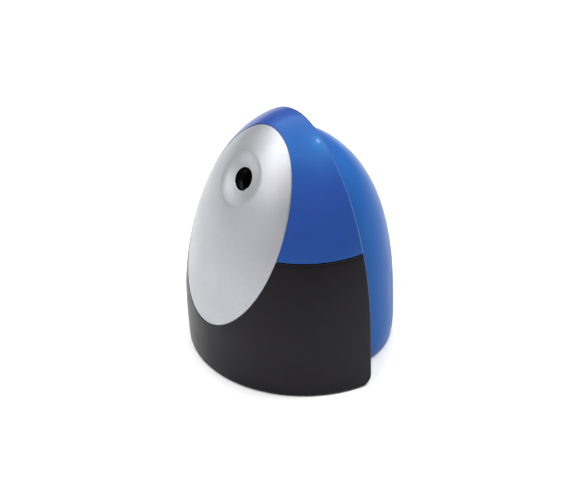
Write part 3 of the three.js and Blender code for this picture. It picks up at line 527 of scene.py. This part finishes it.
def plate_outer_rings():
    """From the bore, across the dish and out to the rounded edge."""
    mouth = 0.35 * MM
    floor = PORT_ON_PLATE.z - DISH_DEPTH
    rings = [plate_ring(lambda t: PORT_RADIUS, lambda x, c, r: PORT_ON_PLATE.z - BOSS_DEPTH)]
    for step in reversed(round_steps(mouth)):
        radius = PORT_RADIUS + rounded(step, mouth)
        rings.append(plate_ring(lambda t: radius, lambda x, c, r: floor - step))
    for k in range(1, DISH_RINGS + 1):
        radius = lerp(PORT_RADIUS + mouth, DISH_RADIUS, k / DISH_RINGS)
        rings.append(plate_ring(lambda t: radius, dish_height))
    for k in range(1, FACE_RINGS + 1):
        share = k / FACE_RINGS
        rings.append(plate_ring(
            lambda t: lerp(DISH_RADIUS, plate_reach(t) - PLATE_EDGE, share),
            lambda x, c, r: face_height(x, c),
        ))
    for step in reversed(round_steps(PLATE_EDGE)[:-1]):
        rings.append(plate_ring(
            lambda t: plate_reach(t) - step,
            lambda x, c, r: face_height(x, c) - rounded(step, PLATE_EDGE),
        ))
    return rings


def plate_inner_rings():
    """From the foot of the plate's edge back to the boss round the port."""
    rings = []
    for k in range(13):
        share = k / 12
        rings.append(plate_ring(
            lambda t: lerp(plate_reach(t), BOSS_RADIUS, share),
            lambda x, c, r: face_height(x, c, PLATE_THICKNESS),
        ))
    rings.append(plate_ring(lambda t: BOSS_RADIUS, lambda x, c, r: PORT_ON_PLATE.z - BOSS_DEPTH))
    return rings


def make_face_plate():
    rings = plate_outer_rings() + plate_inner_rings()
    vertices = [point for ring in rings for point in ring]
    faces = []
    for r in range(len(rings)):
        above = (r + 1) % len(rings)
        for i in range(PLATE_POINTS):
            j = (i + 1) % PLATE_POINTS
            faces.append((
                r * PLATE_POINTS + i, r * PLATE_POINTS + j,
                above * PLATE_POINTS + j, above * PLATE_POINTS + i,
            ))
    return mesh_object("face_plate_shell", vertices, faces)


# ---------------------------------------------------------------- rear housing and door
WELL = {"radius": 4.2 * MM, "bore": 3.1 * MM, "low": 23 * MM, "seat": 25 * MM, "mouth": 0.5 * MM}
WELL_X = 14 * MM
WELL_Z = 40.6 * MM
SHANK_RADIUS = 1.1 * MM


def along_y(node):
    """Puts local Z along the row's Y, on the axis of a node."""
    low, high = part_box(node)
    place = Matrix.Translation(((low.x + high.x) / 2, 0, (low.z + high.z) / 2))
    return place @ Matrix.Rotation(-math.pi / 2, 4, "X")


def make_rear_housing():
    body = rear_solid(foot=FOOT_LIFT, edge=FOOT_ROUND)
    body.name = "rear_shell"
    wide = DOOR_HALF_WIDTH + GAP
    cut(
        body,
        rear_solid(REAR_WALL, SKIRT + 5 * MM),
        block(-wide, wide, 20 * MM, 60 * MM, DOOR_LOW_Z - GAP, DOOR_HIGH_Z + GAP),
    )
    for side in SIDES:
        place = along_y(f"rear_screw_{side}")
        well = turned("well", [(WELL["radius"], WELL["low"]), (WELL["radius"], 50 * MM)], place)
        join(body, common(well, rear_solid(0.02 * MM)))
        bore, mouth = WELL["bore"], WELL["mouth"]
        edge = step_y(WELL_Z) + rear_half_depth(WELL_Z, WELL_X)
        cut(
            body,
            turned("bore", [(bore, WELL["seat"]), (bore, FAR)], place),
            turned("hole", [(1.4 * MM, 20 * MM), (1.4 * MM, 26 * MM)], place, 32),
            turned("flare", [(bore, edge - mouth), (bore + 2 * mouth, edge + mouth)], place),
        )
    return body


GROOVES = {"count": 3, "low": 27 * MM, "pitch": 2.6 * MM}


def make_battery_door():
    """A curved panel with rounded edges, finger grooves, a latch and two foot ledges."""
    edge = 0.5 * MM
    deep = REAR_WALL - 0.2 * MM
    steps = round_steps(edge, 4)
    across = [-DOOR_HALF_WIDTH + s for s in steps]
    across += [lerp(-1, 1, k / 50) * (DOOR_HALF_WIDTH - edge) for k in range(1, 50)]
    across += [DOOR_HALF_WIDTH - s for s in reversed(steps)]
    up = [DOOR_LOW_Z + s for s in steps]
    up += [lerp(DOOR_LOW_Z + edge, DOOR_HIGH_Z - edge, k / 24) for k in range(1, 24)]
    up += [DOOR_HIGH_Z - s for s in reversed(steps)]
    outer, inner = [], []
    for z in up:
        for x in across:
            margin_x = DOOR_HALF_WIDTH - abs(x)
            margin_z = min(z - DOOR_LOW_Z, DOOR_HIGH_Z - z)
            drop = min(rounded(margin_x, edge) + rounded(margin_z, edge), edge)
            outer.append(Vector((x, step_y(z) + rear_half_depth(z, x) - drop, z)))
            inner.append(Vector((x, step_y(z) + rear_half_depth(z, x, deep), z)))
    columns, rows = len(across), len(up)
    below = len(outer)
    faces = []
    for r in range(rows - 1):
        for c in range(columns - 1):
            a = r * columns + c
            quad = (a, a + 1, a + columns + 1, a + columns)
            faces.append(quad)
            faces.append(tuple(below + v for v in reversed(quad)))
    rim = list(range(columns))
    rim += [r * columns + columns - 1 for r in range(1, rows)]
    rim += [(rows - 1) * columns + c for c in range(columns - 2, -1, -1)]
    rim += [r * columns for r in range(rows - 2, 0, -1)]
    for k, a in enumerate(rim):
        b = rim[(k + 1) % len(rim)]
        faces.append((a, b, below + b, below + a))
    body = mesh_object("battery_door_panel", outer + inner, faces)
    latch = block(-4 * MM, 4 * MM, 37 * MM, 40 * MM, DOOR_HIGH_Z - 5 * MM, DOOR_HIGH_Z - 0.2 * MM)
    ledges = [
        block(x - 3.5 * MM, x + 3.5 * MM, 34 * MM, 39.6 * MM, DOOR_LOW_Z, DOOR_LOW_Z + 1.4 * MM)
        for x in (-10 * MM, 10 * MM)
    ]
    for part in (*ledges, latch):
        join(body, common(part, rear_solid(0.6 * MM)))
    for k in range(GROOVES["count"]):
        z = GROOVES["low"] + GROOVES["pitch"] * k
        y = step_y(z) + rear_half_depth(z, 0) + 0.45 * MM
        lengthways = Matrix.Translation((0, y, z)) @ Matrix.Rotation(math.pi / 2, 4, "Y")
        groove = [(0.5 * MM, -7 * MM), (1.0 * MM, -6 * MM), (1.0 * MM, 6 * MM), (0.5 * MM, 7 * MM)]
        cut(body, turned("groove", groove, lengthways, 32))
    return body


# ---------------------------------------------------------------- small fine pieces
def make_foot(node):
    """A rubber foot with rounded edges and a shallow hollow underneath."""
    low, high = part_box(node)
    radius, height = (high.x - low.x) / 2, high.z - low.z
    edge = 0.6 * MM
    hollow = [(0.45, 0.32 * MM), (0.6, 0.04 * MM), (0.66, 0)]
    profile = [(AXIS, 0.35 * MM)] + [(radius * share, up) for share, up in hollow]
    profile += [(radius - edge + edge * math.sin(t), edge - edge * math.cos(t))
                for t in [math.pi / 2 * k / 6 for k in range(7)]]
    profile += [(radius, height), (AXIS, height)]
    place = Matrix.Translation(((low.x + high.x) / 2, (low.y + high.y) / 2, low.z))
    return turned(f"{node}_pad", profile, place)


def make_screw(node, place, face, way):
    """A pan-head screw: local Z is its axis, `face` the outside of its head."""
    radius, tall = 2.4 * MM, 1.5 * MM
    low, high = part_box(node)
    length = max((high - low)[:])
    dome = [(radius * math.sin(t), tall * 0.55 * (1 - math.cos(t)))
            for t in [math.pi / 2 * k / 8 for k in range(1, 9)]]
    profile = [(AXIS, 0), *dome, (radius, tall), (SHANK_RADIUS, tall)]
    pitch, root = 0.9 * MM, 0.74 * SHANK_RADIUS
    depth = tall + 0.4 * MM
    while depth < length - 1.6 * MM:
        profile += [(root, depth), (SHANK_RADIUS, depth + pitch / 2)]
        depth += pitch
    profile += [(root, length - 1.2 * MM), (0.15 * MM, length)]
    turn = place @ Matrix.Translation((0, 0, face)) @ Matrix.Diagonal((1, 1, way, 1))
    body = turned(f"{node}_fine", profile, turn, 40)
    half, reach, slot = 0.35 * MM, 1.7 * MM, 0.75 * MM
    for a, b in ((reach, half), (half, reach)):
        corners = [(-a, -b), (a, -b), (a, b), (-a, b)]
        ends = [[turn @ Vector((x, y, h)) for x, y in corners] for h in (-1 * MM, slot)]
        cut(body, loft("slot", ends))
    return body


CELL = {"radius": 7.1 * MM, "nub": 1 * MM, "nub_radius": 2.7 * MM}
SLEEVE_START = 1.6 * MM  # from the cell's shoulder to its sleeve
BARE_END = 2.7 * MM  # the longest bare end, with the nub


def cell_way(node):
    """+1 where the cell's nub points to +X: its middle is shifted that way."""
    low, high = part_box(node)
    return 1 if low.x + high.x > 0 else -1


def make_cell(node):
    """A dry cell: bare metal ends with a rolled rim, and a plain sleeve between them."""
    low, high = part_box(node)
    way = cell_way(node)
    radius, nub = CELL["radius"], CELL["nub_radius"]
    half = (high.x - low.x) / 2
    flat = half - CELL["nub"]
    edge = 0.6 * MM
    round_off = [(edge * (1 - math.cos(t)), edge * (1 - math.sin(t)))
                 for t in [math.pi / 2 * k / 5 for k in range(6)]]
    profile = [(AXIS, -half), (radius - edge, -half)]
    profile += [(radius - a, -half + b) for a, b in reversed(round_off)][1:]
    profile += [(radius, -half + SLEEVE_START), (radius, flat - SLEEVE_START)]
    profile += [(radius - a, flat - b) for a, b in round_off]
    trough = flat - 0.5 * MM
    profile += [(radius - 1.4 * MM, flat), (radius - 1.7 * MM, trough), (nub + 0.5 * MM, trough)]
    profile += [(nub, flat), (nub, half - 0.25 * MM), (nub - 0.25 * MM, half), (AXIS, half)]
    middle = (low + high) / 2
    place = Matrix.Translation(middle) @ Matrix.Rotation(way * math.pi / 2, 4, "Y")
    return turned(f"{node}_fine", profile, place, 72)


def tube(name, path, radius, sides=10):
    """A round wire along a list of points."""
    rings = []
    side = Vector((0, 0.3, 1)).normalized()
    for k, point in enumerate(path):
        ahead = path[min(k + 1, len(path) - 1)] - path[max(k - 1, 0)]
        ahead.normalize()
        side = (side - ahead * side.dot(ahead)).normalized()
        other = ahead.cross(side)
        rings.append([point + side * x + other * y for x, y in circle(radius, sides)])
    return loft(name, rings)


def make_spring(node, cell):
    """A conical coil, wide at the contact plate and narrow at the cell."""
    low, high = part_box(node)
    wire = 0.35 * MM
    way = cell_way(cell)
    ends = (low.x + wire, high.x - wire) if way > 0 else (high.x - wire, low.x + wire)
    middle = (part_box(cell)[0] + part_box(cell)[1]) / 2
    turns, steps = 3.0, 110
    path = []
    for k in range(steps + 1):
        t = k / steps
        travel = min(max((t - 0.12) / 0.76, 0), 1)
        radius = lerp(4.1 * MM, 2.1 * MM, t)
        turn = 2 * math.pi * turns * t
        path.append(Vector((
            lerp(ends[0], ends[1], travel),
            middle.y + radius * math.cos(turn),
            middle.z + radius * math.sin(turn),
        )))
    return tube(f"{node}_fine", path, wire)


# ---------------------------------------------------------------- material helpers
def new_finish(name):
    material = bpy.data.materials.new(name)
    material.use_nodes = True
    tree = material.node_tree
    return material, tree, tree.nodes["Principled BSDF"]


def noise(tree, scale, detail=2.0, stretch=(1, 1, 1)):
    """Noise in the object's own space; scale is in cycles per metre."""
    place = tree.nodes.new("ShaderNodeTexCoord")
    mapping = tree.nodes.new("ShaderNodeMapping")
    mapping.inputs["Scale"].default_value = stretch
    texture = tree.nodes.new("ShaderNodeTexNoise")
    texture.inputs["Scale"].default_value = scale
    texture.inputs["Detail"].default_value = detail
    tree.links.new(place.outputs["Object"], mapping.inputs["Vector"])
    tree.links.new(mapping.outputs["Vector"], texture.inputs["Vector"])
    return texture.outputs["Fac"]


def remap(tree, value, low, high, to_low, to_high):
    node = tree.nodes.new("ShaderNodeMapRange")
    limits = {"From Min": low, "From Max": high, "To Min": to_low, "To Max": to_high}
    for socket, number in limits.items():
        node.inputs[socket].default_value = number
    tree.links.new(value, node.inputs["Value"])
    return node.outputs["Result"]


def blend_colours(tree, share, first, second):
    """Mixes two colours, each given as numbers or as another node's output."""
    node = tree.nodes.new("ShaderNodeMix")
    node.data_type = "RGBA"
    for socket, colour in ((node.inputs[6], first), (node.inputs[7], second)):
        if isinstance(colour, tuple):
            socket.default_value = (*colour, 1)
        else:
            tree.links.new(colour, socket)
    tree.links.new(share, node.inputs["Factor"])
    return node.outputs[2]


def add_values(tree, first, second, operation="ADD"):
    node = tree.nodes.new("ShaderNodeMath")
    node.operation = operation
    tree.links.new(first, node.inputs[0])
    tree.links.new(second, node.inputs[1])
    return node.outputs["Value"]


def bump(tree, shader, height, depth):
    """Raises the surface by the height's share of the depth, in metres."""
    node = tree.nodes.new("ShaderNodeBump")
    node.inputs["Strength"].default_value = 1
    node.inputs["Distance"].default_value = depth
    tree.links.new(height, node.inputs["Height"])
    tree.links.new(node.outputs["Normal"], shader.inputs["Normal"])


def worn_edges(tree, strength):
    """Rises from 0 to the strength on sharp outer edges, broken up by noise."""
    shape = tree.nodes.new("ShaderNodeNewGeometry")
    edges = remap(tree, shape.outputs["Pointiness"], 0.57, 0.67, 0, strength)
    patches = remap(tree, noise(tree, 260, 3), 0.4, 0.65, 0.2, 1)
    return add_values(tree, edges, patches, "MULTIPLY")


# ---------------------------------------------------------------- materials
def plastic(name, colour, deep, rough, grain, depth,
            pale=0.35, specular=0.5, tint=(1, 1, 1), coat=0):
    """Moulded plastic: a drifting tint, a fine moulded grain and edges rubbed paler."""
    material, tree, shader = new_finish(name)
    drift = remap(tree, noise(tree, 28, 3), 0.3, 0.7, 0, 1)
    body = blend_colours(tree, drift, deep, colour)
    rubbed = tuple(lerp(c, 1, 0.25) for c in colour)
    edged = blend_colours(tree, worn_edges(tree, pale), body, rubbed)
    tree.links.new(edged, shader.inputs["Base Color"])
    smudge = remap(tree, noise(tree, 70, 4), 0.35, 0.7, rough[0], rough[1])
    tree.links.new(smudge, shader.inputs["Roughness"])
    bump(tree, shader, noise(tree, grain, 3), depth)
    shader.inputs["Specular IOR Level"].default_value = specular
    shader.inputs["Specular Tint"].default_value = (*tint, 1)
    shader.inputs["Coat Weight"].default_value = coat
    shader.inputs["Coat Roughness"].default_value = 0.12
    return material


def silver_paint():
    """Metallic paint: fine flakes under a satin lacquer."""
    material, tree, shader = new_finish("silver_paint")
    flakes = tree.nodes.new("ShaderNodeTexVoronoi")
    flakes.inputs["Scale"].default_value = 4200
    place = tree.nodes.new("ShaderNodeTexCoord")
    tree.links.new(place.outputs["Object"], flakes.inputs["Vector"])
    glint = remap(tree, flakes.outputs["Distance"], 0, 0.7, 0, 1)
    paint = blend_colours(tree, glint, (0.42, 0.424, 0.448), (0.34, 0.344, 0.368))
    cloudy = remap(tree, noise(tree, 45, 3), 0.35, 0.65, 0, 0.35)
    clouded = blend_colours(tree, cloudy, paint, (0.38, 0.384, 0.408))
    worn = blend_colours(tree, worn_edges(tree, 0.5), clouded, (0.4, 0.4, 0.41))
    tree.links.new(worn, shader.inputs["Base Color"])
    smudge = remap(tree, noise(tree, 90, 4), 0.3, 0.7, 0.44, 0.54)
    tree.links.new(smudge, shader.inputs["Roughness"])
    bump(tree, shader, noise(tree, 2600, 2), 0.012 * MM)
    shader.inputs["Metallic"].default_value = 0.75
    shader.inputs["Coat Weight"].default_value = 0.15
    shader.inputs["Coat Roughness"].default_value = 0.3
    return material


def metal(name, colour, dull, rough, brushed=(1, 1, 1)):
    """Bare metal: brushed along one axis, a little tarnished, with bright edges."""
    material, tree, shader = new_finish(name)
    tarnish = remap(tree, noise(tree, 160, 4), 0.4, 0.7, 0, 0.7)
    body = blend_colours(tree, tarnish, colour, dull)
    bright = tuple(min(1.15 * c, 1) for c in colour)
    edged = blend_colours(tree, worn_edges(tree, 0.8), body, bright)
    tree.links.new(edged, shader.inputs["Base Color"])
    scratches = noise(tree, 900, 4, brushed)
    satin = remap(tree, scratches, 0.3, 0.7, rough[0], rough[1])
    tree.links.new(satin, shader.inputs["Roughness"])
    bump(tree, shader, scratches, 0.01 * MM)
    shader.inputs["Metallic"].default_value = 1
    return material


def rubber_finish():
    """Matt moulded rubber with a dusty bloom."""
    material, tree, shader = new_finish("rubber_finish")
    bloom = remap(tree, noise(tree, 300, 4), 0.35, 0.7, 0, 1)
    dusty = blend_colours(tree, bloom, (0.012, 0.012, 0.012), (0.035, 0.034, 0.033))
    tree.links.new(dusty, shader.inputs["Base Color"])
    matt = remap(tree, noise(tree, 500, 3), 0.3, 0.7, 0.75, 0.9)
    tree.links.new(matt, shader.inputs["Roughness"])
    bump(tree, shader, noise(tree, 1800, 3), 0.03 * MM)
    return material


def sleeve_finish():
    """A printed foil sleeve: green, with a pale band round each end."""
    material, tree, shader = new_finish("sleeve_finish")
    place = tree.nodes.new("ShaderNodeTexCoord")
    axes = tree.nodes.new("ShaderNodeSeparateXYZ")
    tree.links.new(place.outputs["Object"], axes.inputs["Vector"])
    distance = tree.nodes.new("ShaderNodeMath")
    distance.operation = "ABSOLUTE"
    tree.links.new(axes.outputs["X"], distance.inputs[0])
    band = remap(tree, distance.outputs["Value"], 15.4 * MM, 15.6 * MM, 0, 1)
    printed = blend_colours(tree, band, (0.03, 0.2, 0.11), (0.6, 0.58, 0.5))
    scuffs = remap(tree, noise(tree, 220, 5), 0.55, 0.75, 0, 0.4)
    scuffed = blend_colours(tree, scuffs, printed, (0.45, 0.45, 0.42))
    tree.links.new(scuffed, shader.inputs["Base Color"])
    smudge = remap(tree, noise(tree, 120, 3), 0.3, 0.7, 0.25, 0.42)
    tree.links.new(smudge, shader.inputs["Roughness"])
    bump(tree, shader, noise(tree, 700, 3), 0.01 * MM)
    shader.inputs["Metallic"].default_value = 0.3
    return material


AZURE_GLOSS = (0.0, 0.6, 1.0)
BLUE = plastic(
    "blue_gloss", (0.020, 0.050, 0.230), (0.017, 0.044, 0.207), (0.32, 0.4), 1100, 0.006 * MM,
    specular=0.5, tint=AZURE_GLOSS, coat=0.06,
)
# A lighter, more azure copy of the hood's blue, with less gloss, for the rear housing and its door.
# The lighter colour is painted light for the light that falls on the rear from the right and
# behind.
REAR_BLUE_PAINTED_LIGHT = plastic(
    "rear_blue_painted_light", (0.020, 0.093, 0.315), (0.017, 0.084, 0.290), (0.28, 0.36), 1100, 0.006 * MM,
    specular=0.05, tint=AZURE_GLOSS,
)
BLACK = plastic(
    "black_satin", (0.0055, 0.0042, 0.0066), (0.0042, 0.0032, 0.0050), (0.3, 0.4), 1600, 0.02 * MM,
    pale=0.15, specular=0.13,
)
GREY = plastic(
    "grey_satin", (0.15, 0.16, 0.17), (0.143, 0.153, 0.163), (0.52, 0.58), 1500, 0.03 * MM,
    pale=0.03,
)
WHITE = plastic(
    "white_acetal", (0.78, 0.77, 0.70), (0.70, 0.69, 0.62), (0.38, 0.5), 1300, 0.01 * MM,
)
SILVER = silver_paint()
RUBBER = rubber_finish()
STEEL = metal("bright_steel", (0.62, 0.62, 0.63), (0.42, 0.42, 0.43), (0.22, 0.38), (1, 0.1, 1))
DARK_STEEL = metal("dark_steel", (0.32, 0.32, 0.34), (0.2, 0.2, 0.21), (0.34, 0.5), (1, 1, 0.15))
BRASS = metal("brass", (0.78, 0.55, 0.22), (0.5, 0.34, 0.14), (0.25, 0.42), (0.2, 1, 1))
SLEEVE = sleeve_finish()


# ---------------------------------------------------------------- placing the pieces
BODIES = frame["record"]["behaviour"]["bodies"]
BODY_OF = {node: body for body, nodes in BODIES.items() for node in nodes}
SHARP = math.radians(32)


def smooth(piece):
    """Shades the piece smooth, apart from its real edges."""
    mesh = piece.data
    mesh.shade_smooth()
    mesh.set_sharp_from_angle(angle=SHARP)


def put(piece, node, slot, *materials):
    """Finishes a fine piece: its shading and materials, its body and what it stands for."""
    smooth(piece)
    piece.data.materials.clear()
    for material in materials:
        piece.data.materials.append(material)
    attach(piece, BODY_OF[node])
    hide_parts(node)
    return piece


def bare_ends(piece):
    """Gives the metal, the second material, to the faces beyond the sleeve's two ends."""
    low = min(v.co.x for v in piece.data.vertices)
    high = max(v.co.x for v in piece.data.vertices)
    middle = (low + high) / 2
    limit = (high - low) / 2 - BARE_END
    for face in piece.data.polygons:
        face.material_index = 1 if abs(face.center.x - middle) > limit else 0


def paint_front(piece):
    """Leaves the plate's bore and back in bare plastic, the second material."""
    to_port = PORT_FRAME.inverted()
    out = PORT_FRAME.to_3x3() @ Vector((0, 0, 1))
    for face in piece.data.polygons:
        local = to_port @ face.center
        in_bore = math.hypot(local.x, local.y) < PORT_RADIUS + 0.02 * MM
        face.material_index = 1 if in_bore or face.normal.dot(out) < -0.1 else 0


put(make_hood(), "hood", "blue_plastic", BLUE)
put(make_bin(), "shavings_bin", "black_plastic", BLACK)
paint_front(put(make_face_plate(), "face_plate", "silver_plastic", SILVER, BLACK))
# The rear housing and its door take the lighter blue, which is painted light on the rear.
put(make_rear_housing(), "rear_housing", "blue_plastic", REAR_BLUE_PAINTED_LIGHT)
put(make_battery_door(), "battery_door", "blue_plastic", REAR_BLUE_PAINTED_LIGHT)
for end in ("rear", "front"):
    for side in SIDES:
        put(make_foot(f"foot_{end}_{side}"), f"foot_{end}_{side}", "rubber", RUBBER)
for side in SIDES:
    for kind in ("hood", "base"):
        screw = f"{kind}_screw_{side}"
        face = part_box(screw)[0].z
        put(make_screw(screw, screw_place(kind, side), face, 1), screw, "steel", STEEL)
    rear_screw = f"rear_screw_{side}"
    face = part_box(rear_screw)[1].y
    put(make_screw(rear_screw, along_y(rear_screw), face, -1), rear_screw, "steel", STEEL)
for layer in ("lower", "upper"):
    for row in ("front", "rear"):
        cell, spring = f"cell_{layer}_{row}", f"cell_spring_{layer}_{row}"
        bare_ends(put(make_cell(cell), cell, "cell_sleeve", SLEEVE, STEEL))
        put(make_spring(spring, cell), spring, "steel", STEEL)

CARRIED_OVER = {
    "base_plate": BLACK,
    "start_switch": BLACK,
    "bin_switch": BLACK,
    "chassis": GREY,
    "cutter_shroud": GREY,
    "gear_cover": GREY,
    "pencil_guide": BLACK,
    "cutter_gear": WHITE,
    "idler_gear": WHITE,
    "motor_cap": WHITE,
    "start_lever": WHITE,
    "bin_switch_plunger": WHITE,
    "cutter_blade": STEEL,
    "cutter_carrier": DARK_STEEL,
    "motor_can": DARK_STEEL,
    "cutter_bush": BRASS,
    "motor_pinion": BRASS,
}


def carry_over(name, piece):
    """Keeps a CAD piece as it is, with a material and lightly rounded edges."""
    plain = BRASS if name.startswith("contact") else STEEL
    for place in piece.material_slots:
        place.material = CARRIED_OVER.get(name, plain)
    weld = piece.modifiers.new("weld", "WELD")
    weld.merge_threshold = 0.001 * MM
    low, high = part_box(name)
    bevel = piece.modifiers.new("edges", "BEVEL")
    bevel.width = min(0.2 * MM, 0.12 * min((high - low)[:]))
    bevel.segments = 2
    bevel.limit_method = "ANGLE"
    bevel.angle_limit = math.radians(40)
    shading = piece.modifiers.new("shading", "WEIGHTED_NORMAL")
    shading.keep_sharp = True


for name, piece in frame["nodes"].items():
    if not piece.hide_render:
        carry_over(name, piece)


# ---------------------------------------------------------------- floor, light, camera
def make_floor():
    size, drop = 3.0, -0.05 * MM
    floor = mesh_object(
        "floor",
        [(-size, -size, drop), (size, -size, drop), (size, size, drop), (-size, size, drop)],
        [(0, 1, 2, 3)],
    )
    material, tree, shader = new_finish("floor_paper")
    paper = remap(tree, noise(tree, 6, 3), 0.3, 0.7, 0, 1)
    pale = blend_colours(tree, paper, (0.86, 0.86, 0.86), (0.88, 0.88, 0.88))
    tree.links.new(pale, shader.inputs["Base Color"])
    shader.inputs["Roughness"].default_value = 0.9
    floor.data.materials.append(material)


def area_light(name, place, target, size, power):
    lamp = bpy.data.lights.new(name, "AREA")
    lamp.shape = "RECTANGLE"
    lamp.size, lamp.size_y = size
    lamp.energy = power
    light = bpy.data.objects.new(name, lamp)
    light.location = place
    light.rotation_mode = "QUATERNION"
    light.rotation_quaternion = (Vector(target) - Vector(place)).to_track_quat("-Z", "Y")
    bpy.context.scene.collection.objects.link(light)


def make_world():
    """White surroundings, brighter overhead than at the horizon."""
    world = bpy.data.worlds.new("studio")
    world.use_nodes = True
    tree = world.node_tree
    place = tree.nodes.new("ShaderNodeTexCoord")
    axes = tree.nodes.new("ShaderNodeSeparateXYZ")
    tree.links.new(place.outputs["Generated"], axes.inputs["Vector"])
    strength = remap(tree, axes.outputs["Z"], 0, 0.8, 0.06, 0.35)
    tree.links.new(strength, tree.nodes["Background"].inputs["Strength"])
    tree.nodes["Background"].inputs["Color"].default_value = (1, 1, 1, 1)
    bpy.context.scene.world = world


CAMERA = {
    "azimuth": math.radians(55.89),
    "elevation": math.radians(35.75),
    "distance": 11.849 * HEIGHT,
    "lens": 192.9,
    "across": -0.0643 * HEIGHT,
    "up": -0.1101 * HEIGHT,
}


def make_camera():
    a, e = CAMERA["azimuth"], CAMERA["elevation"]
    back = Vector((math.sin(a) * math.cos(e), -math.cos(a) * math.cos(e), math.sin(e)))
    right = Vector((math.cos(a), math.sin(a), 0))
    up = back.cross(right)
    target = right * CAMERA["across"] + up * CAMERA["up"] + Vector((0, STEP_Y, 0.5 * HEIGHT))
    data = bpy.data.cameras.new("camera")
    data.lens = CAMERA["lens"]
    data.sensor_width = 36
    camera = bpy.data.objects.new("camera", data)
    camera.location = target + back * CAMERA["distance"]
    camera.rotation_mode = "QUATERNION"
    camera.rotation_quaternion = Matrix((right, up, back)).transposed().to_quaternion()
    bpy.context.scene.collection.objects.link(camera)
    bpy.context.scene.camera = camera


make_floor()
make_world()
area_light("overhead", (-0.2, 0.2, 1.3), (0, 0, 0), (2.1, 2.1), 36)
area_light("front", (-0.03, -0.86, 0.92), (0, 0, 0.07), (0.8, 1.0), 9)
area_light("left", (-0.95, -0.55, 0.75), (0, 0, 0.09), (0.8, 0.6), 1)
area_light("rear", (0.46, 0.76, 0.86), (0, 0.02, 0.07), (0.35, 0.8), 4)
area_light("sparkle", (0.20, 0.40, 1.12), (0, 0, 0.09), (0.06, 0.06), 2)
bpy.context.scene.view_settings.view_transform = "Standard"
make_camera()
